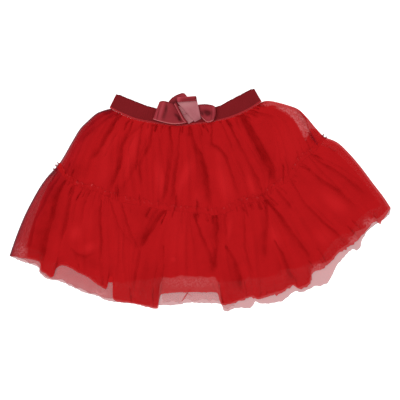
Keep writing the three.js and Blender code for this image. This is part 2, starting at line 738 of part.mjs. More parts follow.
const BOW_FOLD_CENTRE = [
  { ax: -36.5, ay: 158.5, az: 17.2, mx: -21, my: 159.6, mz: 17, bx: -5.4, by: 160.8, bz: 16.2 },
  { ax: -37.5, ay: 161.5, az: 18.4, mx: -21, my: 163.5, mz: 18, bx: -5.6, by: 164.5, bz: 17.2 },
  { ax: -37.3, ay: 165, az: 17, mx: -21, my: 167, mz: 16.6, bx: -5.9, by: 168, bz: 16 },
  { ax: -36.8, ay: 163.5, az: 15, mx: -21, my: 165.5, mz: 14.8, bx: -5.6, by: 166.6, bz: 14.2 },
  { ax: -36.5, ay: 157.5, az: 14.8, mx: -20.5, my: 159, mz: 14.6, bx: -4.6, by: 160, bz: 14 },
  { ax: -27.6, ay: 148, az: 14.4, mx: -13, my: 148, mz: 13.8, bx: -2, by: 149, bz: 13.2 },
  { ax: -17, ay: 136, az: 9.8, mx: -8, my: 136, mz: 9.6, bx: 0.6, by: 136.5, bz: 9.2 },
  { ax: -8.6, ay: 126.8, az: 5.6, mx: -4.5, my: 129, mz: 5.5, bx: 1.4, by: 132.2, bz: 5.6 },
];
const BOW_TAIL_NARROW = [
  { ax: -35.8, ay: 152.5, az: 12.8, mx: -31, my: 152, mz: 12.6, bx: -26, by: 151.5, bz: 12.4 },
  { ax: -33, ay: 144.5, az: 11.2, mx: -27, my: 144.5, mz: 10.6, bx: -21, by: 144, bz: 10 },
  { ax: -27, ay: 135, az: 8, mx: -21.5, my: 137.5, mz: 7.4, bx: -16, by: 138, bz: 6.8 },
  { ax: -18.4, ay: 123.8, az: 5.5, mx: -14.5, my: 126.3, mz: 5.5, bx: -10.8, by: 128.4, bz: 5.5 },
];
const BOW_CREASE = [
  { ax: -42, ay: 155.5, az: 16.4, mx: -40.5, my: 156.7, mz: 17.2, bx: -38.9, by: 157.6, bz: 17.2 },
  { ax: -37.5, ay: 147, az: 15, mx: -36, my: 148, mz: 15.8, bx: -34, by: 149, bz: 15.8 },
  { ax: -33.5, ay: 139.5, az: 13.4, mx: -31.8, my: 140.3, mz: 14.1, bx: -29.8, by: 141, bz: 14 },
  { ax: -28.5, ay: 130.5, az: 12.8, mx: -27, my: 131.5, mz: 13.3, bx: -25, by: 132.5, bz: 13 },
  { ax: -23.5, ay: 124.6, az: 11.9, mx: -21.6, my: 125.4, mz: 12.2, bx: -19.5, by: 126.2, bz: 11.8 },
];
const BOW_LOOP_RIGHT = [
  { ax: 2, ay: 138, az: 5.6, mx: -4, my: 146, mz: 5.5, bx: -5, by: 152, bz: 5.5 },
  { ax: 10, ay: 130, az: 5.5, mx: 12, my: 142, mz: 5.5, bx: 12, by: 153, bz: 5.5 },
  { ax: 19, ay: 129.5, az: 5.8, mx: 21, my: 141, mz: 6, bx: 21.5, by: 152, bz: 6 },
  { ax: 22.6, ay: 131, az: 8.6, mx: 25.6, my: 141, mz: 9.2, bx: 24.6, by: 151, bz: 9 },
  { ax: 19, ay: 127.6, az: 12, mx: 21, my: 141, mz: 12.4, bx: 20.6, by: 153.6, bz: 12.2 },
  { ax: 12.5, ay: 126, az: 13.2, mx: 9.5, my: 140, mz: 9.4, bx: 9.2, by: 155.4, bz: 13.4 },
  { ax: 3.6, ay: 133.4, az: 10.6, mx: -1, my: 142, mz: 7.8, bx: -3.5, by: 154.6, bz: 10.6 },
];

const skirt = new THREE.Group();
function piece(name, geometry, material) {
  const mesh = new THREE.Mesh(geometry, material);
  mesh.name = name;
  skirt.add(mesh);
}

const liningRows = [
  ...LINING_UPPER_ROWS.map((share) => ({ tier: 0, share })),
  ...LINING_RUFFLE_ROWS.map((share) => ({ tier: 1, share })),
];
const lining = (base) =>
  slab(liningRows.length, LINING_COLUMNS + 1, (row, column) =>
    liningPoint(column / LINING_COLUMNS, liningRows[row], base),
  );
const backPanel = (plan) =>
  slab(BACK_ROWS.length, BACK_COLUMNS + 1, (row, column) =>
    flatPoint(plan, column / BACK_COLUMNS, BACK_ROWS[row], 0, NET_WALL),
  );

piece("waistband", waistband(), elastic);
piece("upper_back", backPanel(upperPlan), tulle);
piece("ruffle_back", backPanel(ruffleBackPlan), tulle);
piece("lining_back", lining(LINING_BACK_BASE), liningCloth);
piece("lining_front", lining(LINING_FRONT_BASE), liningCloth);
piece(
  "upper_front",
  slab(UPPER_ROWS.length, upperColumns.length, (row, column) =>
    upperFrontPoint(upperColumns[column], UPPER_ROWS[row]),
  ),
  tulle,
);
piece(
  "ruffle_front",
  slab(RUFFLE_ROWS.length, ruffleColumns.length, (row, column) =>
    ruffleFrontPoint(ruffleColumns[column], RUFFLE_ROWS[row]),
  ),
  tulle,
);
piece(
  "seam_frill",
  slab(FRILL_ROWS.length, upperColumns.length, (row, column) =>
    frillPoint(upperColumns[column], column, FRILL_ROWS[row]),
  ),
  tulle,
);
piece("bow_loop_left", ribbon(BOW_LOOP_LEFT, 21), velvet);
piece("bow_loop_top", ribbon(BOW_LOOP_TOP, 10), velvet);
piece("bow_fold_centre", ribbon(BOW_FOLD_CENTRE, 22), reverse);
piece("bow_tail_narrow", ribbon(BOW_TAIL_NARROW, 8), reverse);
piece("bow_crease", ribbon(BOW_CREASE, 10), velvet);
piece("bow_loop_right", ribbon(BOW_LOOP_RIGHT, 20), velvet);

// The middle of the skirt's box goes over the origin
const box = new THREE.Box3().setFromObject(skirt);
skirt.position.set(-(box.min.x + box.max.x) / 2, -(box.min.y + box.max.y) / 2, 0);

export default skirt;
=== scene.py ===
"""The looks of a child's tulle skirt that lies flat, front side up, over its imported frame."""

import math

import bpy
import numpy as np
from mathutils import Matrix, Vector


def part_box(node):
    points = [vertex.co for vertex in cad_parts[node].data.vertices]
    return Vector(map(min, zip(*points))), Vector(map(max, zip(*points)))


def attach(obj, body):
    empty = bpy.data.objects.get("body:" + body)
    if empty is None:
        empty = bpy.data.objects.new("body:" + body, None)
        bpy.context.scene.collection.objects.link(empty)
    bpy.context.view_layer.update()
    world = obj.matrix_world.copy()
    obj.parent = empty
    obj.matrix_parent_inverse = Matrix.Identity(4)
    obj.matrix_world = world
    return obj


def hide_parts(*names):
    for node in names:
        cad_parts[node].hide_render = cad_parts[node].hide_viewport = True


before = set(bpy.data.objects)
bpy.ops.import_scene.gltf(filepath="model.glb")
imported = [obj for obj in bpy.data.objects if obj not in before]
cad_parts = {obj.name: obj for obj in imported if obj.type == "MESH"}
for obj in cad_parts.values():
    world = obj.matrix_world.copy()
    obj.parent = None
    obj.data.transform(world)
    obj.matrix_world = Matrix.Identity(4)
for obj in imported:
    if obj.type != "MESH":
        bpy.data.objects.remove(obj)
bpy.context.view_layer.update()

MM = 0.001

# Driving dimensions in millimetres, the same as the construction's
NET_WALL = 1.2
FOLDED_WALL = 1.6  # of gathered net, measured straight up
LINING_WALL = 1.0
ELASTIC_WALL = 2.0
RIBBON_WALL = 1.0
GAP = 0.3
BAND_SLIT = 0.6
BAND_WIDTH = 25.0
BAND_RIBS = 15
FRILL_WIDTH = 8.0
UPPER_TIER_LENGTH = 148
RUFFLE_TIER_LENGTH = 165
LANDING_START = 5  # how far past the lining's sides the front starts to come down
LANDING_END = 13
STEEPEST_FOLD = 0.42  # the most that a fold rises, as a share of its width

# Heights of the layers, worked out from them
BACK_TOP = NET_WALL
LINING_BACK_BASE = BACK_TOP + GAP
LINING_FRONT_BASE = LINING_BACK_BASE + LINING_WALL + GAP
FRONT_BASE = LINING_FRONT_BASE + LINING_WALL + GAP
SIDE_BASE = BACK_TOP + GAP
BAND_TOP_Z = 2 * ELASTIC_WALL + BAND_SLIT

# Outlines of the skirt as it lies, seen from above: x, y
BAND_UPPER_EDGE = [
    (-135, 173.3), (-107.3, 161.7), (-73.4, 150.2), (-27.2, 145.2), (23.9, 151.3), (51, 164),
    (86.3, 182.5),
]
BAND_LOWER_EDGE = [
    (-146.9, 149.3), (-122.4, 137.1), (-97.2, 128.7), (-40.4, 121.1), (-7.4, 123.3),
    (27.2, 128.4), (54.3, 135.3), (79.7, 146.4), (99.8, 159.2),
]
TIER_SEAM = [
    (-233.5, 55.3), (-220.3, 36.7), (-197.2, 21.5), (-164.2, 12.4), (-132.8, -1.7),
    (-98.2, -8.3), (-61.9, -14.9), (-28.9, -19), (0.8, -21.5), (25.6, -24.8), (50.3, -18.2),
    (68.5, -6.6), (103.1, 0), (122.9, 19.8), (147.7, 34.7), (165.8, 62.7), (187.3, 80.9),
    (203.8, 102.3),
]
LEFT_SIDE_UPPER = [
    (-146.9, 148.5), (-157.6, 145.9), (-170.8, 140.3), (-184, 128.7), (-197.2, 115.5),
    (-210.4, 94.1), (-223.6, 71), (-233.5, 55.3),
]
RIGHT_SIDE_UPPER = [
    (100.4, 157.6), (107.4, 160.2), (119.6, 160.1), (146, 153.5), (162.5, 146.9),
    (175.7, 134.5), (188.9, 118.8), (203.8, 102.3),
]
LEFT_SIDE_RUFFLE = [
    (-233.5, 55.3), (-250, 38), (-263.2, 19.8), (-276.4, -3.3), (-289.6, -29.7),
    (-302.8, -62.7), (-313.3, -93.1),
]
RIGHT_SIDE_RUFFLE = [
    (203.8, 102.3), (225.2, 94), (245, 75.9), (264.8, 52.8), (284.6, 26.4), (301.1, 5),
    (313.7, -14),
]
HEM_FRONT = [
    (-313.3, -93.1), (-287.9, -96.5), (-264, -103.1), (-261.5, -115.8), (-252.4, -122.9),
    (-245, -128.5), (-240.1, -126.2), (-237.6, -117.1), (-232.5, -110.9), (-224.9, -108.9),
    (-213.7, -112.2), (-201, -119.6), (-184.6, -127.9), (-169.5, -138.6), (-158.1, -146.2),
    (-152.6, -145.2), (-150.2, -136.9), (-145.7, -134), (-143.4, -140.2), (-142.4, -163.3),
    (-131.2, -168.6), (-112.2, -170.8), (-90.8, -175.9), (-70.5, -180), (-67.8, -171.6),
    (-65.2, -159.1), (-60.2, -155.1), (-42.7, -153.4), (-23.9, -152.6), (0.8, -152.6),
    (24.9, -153.1), (29.9, -156.8), (33.2, -168.3), (37.9, -173.9), (50.7, -171.8),
    (66.8, -166.6), (85.5, -160.5), (95.2, -164.7), (114.2, -159.4), (136, -153.4),
    (146, -145.2), (155.3, -141.9), (160.5, -146.8), (169.1, -145.9), (179.8, -140.1),
    (182.3, -132), (186.6, -120.1), (203.4, -113.2), (220.3, -96.2), (230.3, -86.1),
    (245.5, -77.7), (255.6, -71), (272.4, -52.5), (286.9, -37), (294.4, -38.9),
    (302.8, -30.4), (313.7, -14),
]
HEM_BACK = [
    (-313.3, -93.1), (-287.9, -103.9), (-266.1, -111.5), (-264.2, -119.6), (-258.9, -126.1),
    (-250, -131.3), (-232.5, -134.1), (-211, -143.5), (-188.4, -153.8), (-169.5, -158.7),
    (-153, -166.3), (-131.5, -169.6), (-90.8, -173.2), (-68, -174.2), (-34, -173.1),
    (-23.9, -170.4), (0.8, -170.4), (31, -171.8), (36, -174.9), (38.8, -182.8),
    (46.2, -184), (55.6, -179.7), (73.8, -178.7), (81.7, -178.5), (87.9, -172.9),
    (91.6, -167.6), (98.2, -171.3), (114.2, -171.3), (131, -168.6), (139.4, -164.5),
    (147.8, -156.9), (157.6, -151.1), (164.2, -153.1), (173.1, -151), (186.6, -143.4),
    (203.4, -140.6), (211.9, -135), (218.5, -123.3), (226.9, -106.4), (240.4, -91.2),
    (249, -82.2), (258.1, -83.5), (264, -78.5), (266.5, -67.6), (275.7, -52.5),
    (287.6, -42.4), (301.9, -33.3), (312, -23.1), (313.7, -14),
]

# Troughs between the folds, as in the construction: x at the gathered edge, x at the other
# edge, how far it bows to the right half way, and how high the fold to its right stands
UPPER_FOLDS = [
    (-146.9, -233.5, 0, 3), (-142, -224, 0, 4), (-138, -216, 0, 5), (-133.6, -207, 2, 9),
    (-131, -190, 3, 6), (-128, -170, 4, 7), (-124.6, -148.5, 8, 8), (-116, -133, 3, 6),
    (-107, -118, 0, 7), (-96, -101, 0, 7), (-86, -91, 0, 5), (-76, -82, 0, 6),
    (-65, -75, 0, 5), (-54, -68, 0, 5), (-43, -62, 2, 9), (-35, -45, 0, 7), (-27, -30, 0, 6),
    (-19, -14, 0, 7), (-11, 2, 0, 6), (-4, 24, 0, 10), (4, 38, 0, 6), (11, 54, 0, 7),
    (20, 73, 0, 7), (31, 84, 0, 8), (44, 104, 0, 7), (55, 107, 13, 7), (66, 110, 26, 11),
    (77, 135, 8, 8), (84, 152, 4, 7), (90, 168, 2, 7), (94, 181, 0, 6), (97, 190, 1, 4),
    (98.5, 197, 0, 3), (99.8, 203.8, 0, 0),
]
RUFFLE_FOLDS = [
    (-233.5, -313.3, 0, 3), (-232, -300, 0, 3), (-231, -284, 0, 5), (-229.5, -262, 4, 12),
    (-210, -248, 2, 6), (-199, -235, 2, 9), (-191, -217, 2, 7), (-184, -198, 3, 8),
    (-173, -187, 5, 6), (-162.5, -176, 10, 10), (-154, -158, 8, 7), (-148, -145, 6, 9),
    (-143, -121, 7, 7), (-128, -116, 10, 5), (-104, -114, 2, 5), (-80, -111.7, -6, 5),
    (-55, -109.5, -14, 13), (-51, -90, -8, 8), (-47, -70, -2, 9), (-38, -52, 0, 6),
    (-28, -34, 0, 7), (-18.5, -15, 0, 6), (-14, 10, 2, 8), (-9, 36, 4, 6), (8, 38, 0, 5),
    (24, 40, -6, 11), (34, 55, -6, 8), (44, 72, -10, 10), (55, 80, -3, 6), (65, 88, 3, 8),
    (80, 100, 3, 7), (95, 113, 3, 8), (97.5, 136, 2, 9), (100, 158, 0, 8), (102, 173, 0, 7),
    (104.5, 187, 0, 12), (116, 201, 0, 8), (128, 216, 0, 8), (136, 229, 0, 7),
    (143, 243, 0, 11), (155, 264, 0, 8), (166, 284, 0, 9), (174, 294, 0, 6),
    (183, 303, 0, 6), (194, 309, 0, 4), (203.8, 313.7, 0, 0),
]
# The main creases of the front: half width, depth, and the points it runs through
UPPER_CREASES = [
    (4, 6.0, (-136, 133), (-146, 111), (-158, 91), (-171, 72), (-183, 62)),
    (3, 3.0, (-146, 144), (-166, 133), (-183, 118)),
    (4, 3.5, (-143, 139), (-163, 121), (-186, 104), (-203, 88)),
    (4, 5.5, (-114, 116), (-126, 87), (-129, 64), (-136, 40), (-146, 13), (-151, 0)),
    (2.5, 2.5, (-92, 123), (-117, 102), (-124, 91), (-126, 77)),
    (2.5, 3.0, (-96, 116), (-99, 84), (-102, 60), (-112, 40), (-122, 23), (-132, 2)),
    (3.5, 4.5, (-79, 107), (-82, 87), (-92, 67), (-99, 54), (-96, 27), (-92, 18)),
    (2.5, 2.0, (-68, 110), (-65, 87), (-59, 60), (-54, 30)),
    (3.5, 5.0, (-48, 119), (-45, 87), (-48, 54), (-54, 20), (-59, 0), (-64, -14)),
    (3, 4.0, (-32, 104), (-35, 77), (-38, 47), (-42, 20), (-43, -13)),
    (6, 7.5, (-15, 118), (-8, 91), (2, 74), (9, 47), (14, 20), (19, -7), (22, -22)),
    (3, 4.5, (19, 121), (20, 91), (32, 84), (46, 67), (52, 44), (59, 20), (66, 0)),
    (2.5, 2.5, (42, 111), (52, 87), (62, 64), (72, 44), (84, 20)),
    (3, 4.5, (52, 116), (66, 87), (83, 57), (96, 34), (104, 7)),
    (6.5, 8.0, (77, 128), (91, 105), (103, 85), (113, 65), (120, 45), (122, 28), (118, 16)),
    (3.5, 4.5, (74, 124), (84, 106), (96, 86), (105, 64), (114, 42)),
    (2.5, 3.5, (86, 115), (96, 84), (109, 64), (120, 40)),
    (3, 3.0, (89, 144), (109, 138), (126, 133)),
    (2, 2.5, (60, 132), (66, 118), (70, 108)),
    (5, 3.5, (159, 148), (172, 131), (180, 108), (193, 85)),
]
RUFFLE_CREASES = [
    (2.5, 4.5, (-235, 29), (-251, 1), (-268, -32), (-277, -70), (-281, -95)),
    (4.5, 8.0, (-219, 33), (-228, 16), (-237, -9), (-243, -37), (-251, -65), (-258, -94), (-262, -112)),
    (4, 4.5, (-207, 14), (-216, -23), (-223, -56), (-228, -75)),
    (2, 2.0, (-188, -4), (-192, -32), (-195, -46)),
    (3, 3.5, (-211, -79), (-200, -90), (-185, -94), (-169, -86)),
    (2.5, 4.5, (-162, -4), (-162, -42), (-161, -75), (-163, -117)),
    (2, 2.5, (-141, -20), (-131, -46), (-117, -65), (-101, -84)),
    (2.5, 3.5, (-127, -13), (-119, -37), (-108, -65), (-98, -84), (-103, -117), (-110, -164)),
    (5, 7.5, (-57, -20), (-65, -28), (-77, -46), (-86, -61), (-98, -84)),
    (3, 3.5, (-58, -75), (-59, -108), (-65, -141), (-69, -174)),
    (2, 1.5, (-28, -24), (-27, -61)),
    (2, 1.5, (-16, -28), (-9, -75)),
    (3, 4.0, (-4, -37), (5, -61), (15, -84), (22, -108), (22, -127)),
    (5, 6.5, (24, -14), (29, -42), (28, -61), (30, -75), (25, -94), (24, -128)),
    (2, 2.5, (41, -32), (46, -65)),
    (5, 6.0, (43, -75), (57, -98), (64, -122), (71, -160)),
    (2, 3.5, (69, -11), (76, -22)),
    (2, 2.5, (74, -32), (74, -75), (83, -108), (95, -141)),
    (4, 4.0, (109, -9), (112, -42), (107, -75), (107, -108)),
    (4, 6.0, (112, -4), (135, -32), (156, -61), (175, -84), (187, -108)),
    (3.5, 4.5, (121, -65), (135, -89), (147, -117), (161, -140)),
    (3, 4.0, (135, 6), (147, -9), (154, -20)),
    (2.5, 4.0, (152, 26), (175, -9), (194, -28), (213, -46), (236, -65), (253, -80)),
    (3.5, 4.0, (173, 55), (203, 29), (227, 15), (251, -9), (265, -20)),
    (3, 3.5, (194, 64), (236, 38), (260, 20), (279, 1)),
    (2, 2.5, (186, 62), (212, 34), (240, 6)),
]
# Broad soft parts of the front that rise and have a painted highlight, or below 0 sink and have
# painted shade: x, y, half along, half across, direction in degrees, strength
UPPER_SWELLS = [
    (-149, 87, 32, 8, 62, 0.5), (-112, 77, 36, 8, 73, 1.0), (-156, 44, 22, 12, 70, 0.4),
    (-85, 111, 11, 4, 80, 0.5), (-65, 34, 27, 8, 94, 0.9), (-21, 44, 20, 8, 72, 0.9),
    (-32, 20, 20, 5, 80, 0.5), (-3, 2, 12, 7, 90, 0.5), (39, 27, 32, 10, 104, 0.9),
    (84, 23, 18, 5, 110, 0.8), (32, 71, 12, 6, 105, 0.5), (150, 94, 35, 22, 95, 0.35),
    (-203, 45, 22, 13, 20, -0.6), (0, 97, 16, 12, 90, -0.3), (-47, -2, 14, 12, 90, -0.35),
    (93, 2, 18, 7, 10, -0.35), (-130, 8, 20, 9, 70, -0.25),
]
RUFFLE_SWELLS = [
    (-203, -56, 12, 9, 75, 0.9), (-179, -79, 12, 7, 20, 0.9), (-183, -37, 16, 9, 80, 0.35),
    (-131, -75, 20, 7, 100, 0.25), (-37, -61, 40, 17, 90, 0.35), (-43, -99, 5, 4, 0, 0.6),
    (48, -49, 17, 5, 80, 0.6), (123, -61, 18, 8, 110, 0.7), (220, -6, 24, 11, 140, 0.8),
    (203, -63, 14, 12, 140, 0.6), (-258, -51, 75, 20, 68, -0.65), (-238, 12, 22, 16, 60, -0.45),
    (-183, -103, 30, 9, 160, -0.4), (-86, -131, 38, 17, 85, -0.45), (-88, -24, 20, 12, 10, -0.4),
    (34, -40, 24, 10, 90, -0.4), (50, -127, 28, 13, 100, -0.3), (142, -112, 18, 14, 120, -0.3),
    (105, -75, 24, 8, 90, -0.3), (260, 15, 26, 11, 140, -0.3), (161, 34, 14, 10, 60, -0.2),
]
# Where the net is crumpled so that it catches the light: x, y, half width, half height, strength
PALE_SPOTS = [
    (-17, -137, 46, 9, 0.28), (-296, -84, 11, 13, 0.7), (276, -38, 9, 8, 0.6),
    (194, -115, 12, 10, 0.5), (251, -66, 8, 7, 0.5), (110, 155, 10, 3, 0.5),
]
# The single layer of the front that shows pale at the upper right: x, y round it
SHEER_PATCH = [
    (116, 151), (125, 147.5), (139, 140), (152, 130), (160, 118), (167, 104), (173, 93), (180, 108),
    (176, 124), (168, 139), (158, 147), (140, 152),
]

# How a tier's folds go from its gathered edge to its other one: their share at the gathered edge,
# the share down where they are full, the height of the gathers, the share of it all at the far
# edge, whether the seam is the gathered edge, and how far the front comes down past the lining
UPPER_WAVES = dict(
    at_edge=0.25, full_by=0.45, gather=1.0, at_far_edge=1.0, seam_first=False, hem_drop=0
)
RUFFLE_WAVES = dict(
    at_edge=0.35, full_by=0.6, gather=1.1, at_far_edge=0.2, seam_first=True, hem_drop=0.9
)

# The lining's distance inside each side, as a share of the width, from the waist (0) past the
# tier seam (1) to the hem (2): down, left, right
LINING_MARGINS = [
    (0, 0.02, 0.02), (0.3, 0.02, 0.03), (0.7, 0.02, 0.05), (1, 0.02, 0.03), (1.5, 0.027, 0.02),
    (2, 0.034, 0.02),
]
# Where the lining ends, as a share of the ruffle's length: step from its left side, share
LINING_HEM = [
    (0, 0.84), (0.15, 0.81), (0.25, 0.82), (0.35, 0.73), (0.55, 0.73), (0.75, 0.78), (1, 0.86),
]


def smooth(start, end, value):
    t = np.clip((value - start) / (end - start), 0, 1)
    return t * t * (3 - 2 * t)


def column_of(table, index, at):
    """A column of a table, straight between its rows, at values of its first column."""
    rows = np.array(table, float)
    return np.interp(at, rows[:, 0], rows[:, index])


def run_of(line):
    """How far along a line through points each of them is."""
    return np.concatenate([[0], np.cumsum(np.linalg.norm(np.diff(line, axis=0), axis=1))])


class Outline:
    """A smooth line through a table's points, moved aside to its right hand as it runs."""

    STEPS = 600

    def __init__(self, rows, aside=0.0):
        points = np.array(rows, float)
        last = len(points) - 1
        at = np.linspace(0, last, 12 * self.STEPS + 1)
        start = np.minimum(at.astype(int), last - 1)
        t = (at - start)[:, None]
        p0, p1 = points[np.maximum(start - 1, 0)], points[start]
        p2, p3 = points[start + 1], points[np.minimum(start + 2, last)]
        v0, v1 = (p2 - p0) / 2, (p3 - p1) / 2
        curve = (2 * p1 - 2 * p2 + v0 + v1) * t**3 + (3 * p2 - 3 * p1 - 2 * v0 - v1) * t**2
        curve = curve + v0 * t + p1
        run = run_of(curve)
        self.length = run[-1]
        even = np.linspace(0, self.length, self.STEPS + 1)
        middle = np.stack([np.interp(even, run, curve[:, k]) for k in (0, 1)], axis=1)
        ahead = middle[np.minimum(np.arange(self.STEPS + 1) + 4, self.STEPS)]
        along = ahead - middle[np.maximum(np.arange(self.STEPS + 1) - 4, 0)]
        along = along / np.linalg.norm(along, axis=1, keepdims=True)
        self.points = middle + aside * np.stack([along[:, 1], -along[:, 0]], axis=1)
        self.shares = even / self.length

    def place(self, share):
        share = np.clip(share, 0, 1)
        return np.stack([np.interp(share, self.shares, self.points[:, k]) for k in (0, 1)], -1)

    def share_at_x(self, x):
        ahead = np.maximum.accumulate(self.points[:, 0])
        return np.interp(x, ahead, self.shares)


def spanned(top, bottom, left, right):
    """A sheet's plan: the place at a share across and a share down between four outlines."""
    top_left, top_right = left.place(0.0), right.place(0.0)
    low_left, low_right = left.place(1.0), right.place(1.0)

    def plan(across, down):
        a, d = np.broadcast_arrays(np.asarray(across, float), np.asarray(down, float))
        a3, d3 = a[..., None], d[..., None]
        rows = top.place(a) * (1 - d3) + bottom.place(a) * d3
        columns = left.place(d) * (1 - a3) + right.place(d) * a3
        corners = (top_left * (1 - a3) + top_right * a3) * (1 - d3)
        return rows + columns - corners - (low_left * (1 - a3) + low_right * a3) * d3

    return plan


band_lower = Outline(BAND_LOWER_EDGE)
band_upper = Outline(BAND_UPPER_EDGE)
waist_line = Outline(BAND_LOWER_EDGE, GAP)
seam_above = Outline(TIER_SEAM, -GAP / 2)
seam_below = Outline(TIER_SEAM, GAP / 2)
hem_front = Outline(HEM_FRONT)
hem_back = Outline(HEM_BACK)
upper_sides = [Outline(LEFT_SIDE_UPPER), Outline(RIGHT_SIDE_UPPER)]
ruffle_sides = [Outline(LEFT_SIDE_RUFFLE), Outline(RIGHT_SIDE_RUFFLE)]
upper_plan = spanned(waist_line, seam_above, *upper_sides)
ruffle_front_plan = spanned(seam_below, hem_front, *ruffle_sides)
ruffle_back_plan = spanned(seam_below, hem_back, *ruffle_sides)

# The frame's origin is under the middle of the skirt's box, and the tables' is not
ring = np.linspace(0, 1, 400)
back_outline = np.concatenate([hem_back.place(ring), *[side.place(ring) for side in ruffle_sides]])
back_low, back_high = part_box("ruffle_back")
SHIFT = np.array([
    (back_low[k] + back_high[k]) / 2 / MM - (back_outline[:, k].min() + back_outline[:, k].max()) / 2
    for k in (0, 1)
])


def lining_across(step, down):
    left = column_of(LINING_MARGINS, 1, down)
    right = column_of(LINING_MARGINS, 2, down)
    return left + (1 - left - right) * step


def lining_side(step):
    """One side of the lining, carried on past its hem and off the skirt."""
    down = np.linspace(0, 2, 33)
    across = lining_across(step, down)
    upper = upper_plan(across, np.minimum(down, 1))
    lower = ruffle_back_plan(across, np.maximum(down - 1, 0))
    side = np.where(down[:, None] < 1, upper, lower)
    return np.concatenate([side, [[side[-1, 0], -400]]])


lining_sides = [lining_side(0), lining_side(1)]


def is_within(place, ring_points):
    """Whether places lie inside a closed line."""
    within = np.zeros(place.shape[:-1], bool)
    for a, b in zip(ring_points, np.roll(ring_points, -1, axis=0)):
        if a[1] == b[1]:
            continue
        crosses = (a[1] > place[..., 1]) != (b[1] > place[..., 1])
        crossing = a[0] + (b[0] - a[0]) * (place[..., 1] - a[1]) / (b[1] - a[1])
        within ^= crosses & (place[..., 0] < crossing)
    return within


def from_line(place, line):
    """The distance from places to a line through points, how far along it they are, 0 to 1, and
    which side of it they are on, 1 on the right as seen from above where it runs down."""
    lengths = np.linalg.norm(np.diff(line, axis=0), axis=1)
    run = np.concatenate([[0], np.cumsum(lengths)])
    nearest = np.full(place.shape[:-1], np.inf)
    along, side = np.zeros(place.shape[:-1]), np.zeros(place.shape[:-1])
    for k, (a, b) in enumerate(zip(line[:-1], line[1:])):
        share = np.clip((place - a) @ (b - a) / ((b - a) @ (b - a)), 0, 1)
        away = np.linalg.norm(place - a - share[..., None] * (b - a), axis=-1)
        across = (b - a)[0] * (place - a)[..., 1] - (b - a)[1] * (place - a)[..., 0]
        along = np.where(away < nearest, (run[k] + share * lengths[k]) / run[-1], along)
        side = np.where(away < nearest, np.sign(across), side)
        nearest = np.minimum(nearest, away)
    return nearest, along, side


def past_lining(place):
    """How far places lie outside the nearer side of the lining, or 0 within it."""
    within = is_within(place, np.concatenate([lining_sides[0], lining_sides[1][::-1]]))
    nearest = np.minimum(*(from_line(place, side)[0] for side in lining_sides))
    return np.where(within, 0, nearest)


def front_base(place):
    past = smooth(LANDING_START, LANDING_END, past_lining(place))
    return FRONT_BASE + (SIDE_BASE - FRONT_BASE) * past


# Mesh making
def make_object(name, points, faces, smooth_faces=True):
    """A mesh object from points in the tables' millimetres."""
    points = np.asarray(points, float).reshape(-1, 3).copy()
    points[:, :2] += SHIFT
    mesh = bpy.data.meshes.new(name)
    mesh.from_pydata((points * MM).tolist(), [], [list(face) for face in faces])
    mesh.polygons.foreach_set("use_smooth", [smooth_faces] * len(mesh.polygons))
    mesh.update()
    piece = bpy.data.objects.new(name, mesh)
    bpy.context.scene.collection.objects.link(piece)
    return piece


def grid_faces(rows, columns, start=0, flip=False, closed=False):
    across = np.arange(columns if closed else columns - 1)
    beside = (across + 1) % columns
    faces = []
    for row in range(rows - 1):
        here, below = start + row * columns, start + (row + 1) * columns
        quads = np.stack([here + across, below + across, below + beside, here + beside], axis=1)
        faces.extend(quads[:, ::-1].tolist() if flip else quads.tolist())
    return faces


def lifted(place, height):
    """Points from places seen from above and their heights."""
    return np.concatenate([place, height[..., None]], axis=-1)


def strips(table, rows, columns, width_at, height_at, first=0):
    """Narrow strips of cloth, each from a start to an end given in the table with its half width:
    their points, and their faces, numbered from the first."""
    points, faces = [], []
    for x0, y0, x1, y1, half in table:
        start, end = np.array([x0, y0], float), np.array([x1, y1], float)
        aside = np.array([end[1] - start[1], start[0] - end[0]]) / np.linalg.norm(end - start)
        t, side = np.meshgrid(np.linspace(0, 1, rows), np.linspace(-1, 1, columns), indexing="ij")
        wide = half * width_at(t, x0)
        place = start + (end - start) * t[..., None] + aside * (wide * side)[..., None]
        faces += grid_faces(rows, columns, first + len(points))
        points += lifted(place, height_at(t, side)).reshape(-1, 3).tolist()
    return points, faces


def set_values(piece, **values):
    """Numbers for the materials, under their names, each with one value for every point."""
    for name, numbers in values.items():
        attribute = piece.data.attributes.new(name, "FLOAT", "POINT")
        attribute.data.foreach_set("value", np.asarray(numbers, np.float32).ravel())


# Gathered sheets
COLUMN_STEP = 0.9  # from one column of points to the next, about
WEIGHT_STAGES = 5  # heights drawn for each fold down its length
# A fold's height as a share of the construction's: the least, and the most that is added to it
LEAST_WEIGHT, MORE_WEIGHT = 0.04, 0.3
FRONT_RISE = 2.2  # how high the fronts lie over their base, apart from folds and creases
LOWEST_RISE = 0.5  # below this height the cloth flattens out
STEEP_BANK, SOFT_BANK = 0.5, 1.2  # a crease's reach to its right and left, in half widths
CREASE_CORE = 0.82  # the part of a crease's depth that lies in its narrow middle
CREASE_FOOT = 2.6  # how far its soft banks reach, in half widths
CREASE_DROP = 0.42  # how far a crease lowers the cloth, as a share of its depth
CREASE_START_REACH = 30.0  # how near the gathered edge a crease must start to run on to it
CREASE_WANDER = 0.8  # how far a crease strays from the line through its points
COMPANION_SHARE = 0.55  # of the listed creases, how many have a fainter one beside them
SHORT_GATHERS = 46  # short creases that start at the gathered seam
SWELL_RISE = 1.3  # how high a swell of full strength rises
ROLL_RISE = 0.35  # how high each broad roll of the cloth rises
FULL_PLEAT = 8  # how wide a fold is on which the fine pleats have their full height
GATHER_PAINTED_SHADE = 0.12  # how much painted shade lies in the gathers between their tops
DARKEST_CREASE = 6.5  # the depth of a crease whose painted shade is as dark as the net gets
ROLL_LENGTH = 90.0  # from one broad roll of the cloth to the next
SEAM_HEIGHT = 1.8  # how high the fronts stand over their base where they meet
SIDE_ROLL = 5.0  # how far in from a side fold the front rises


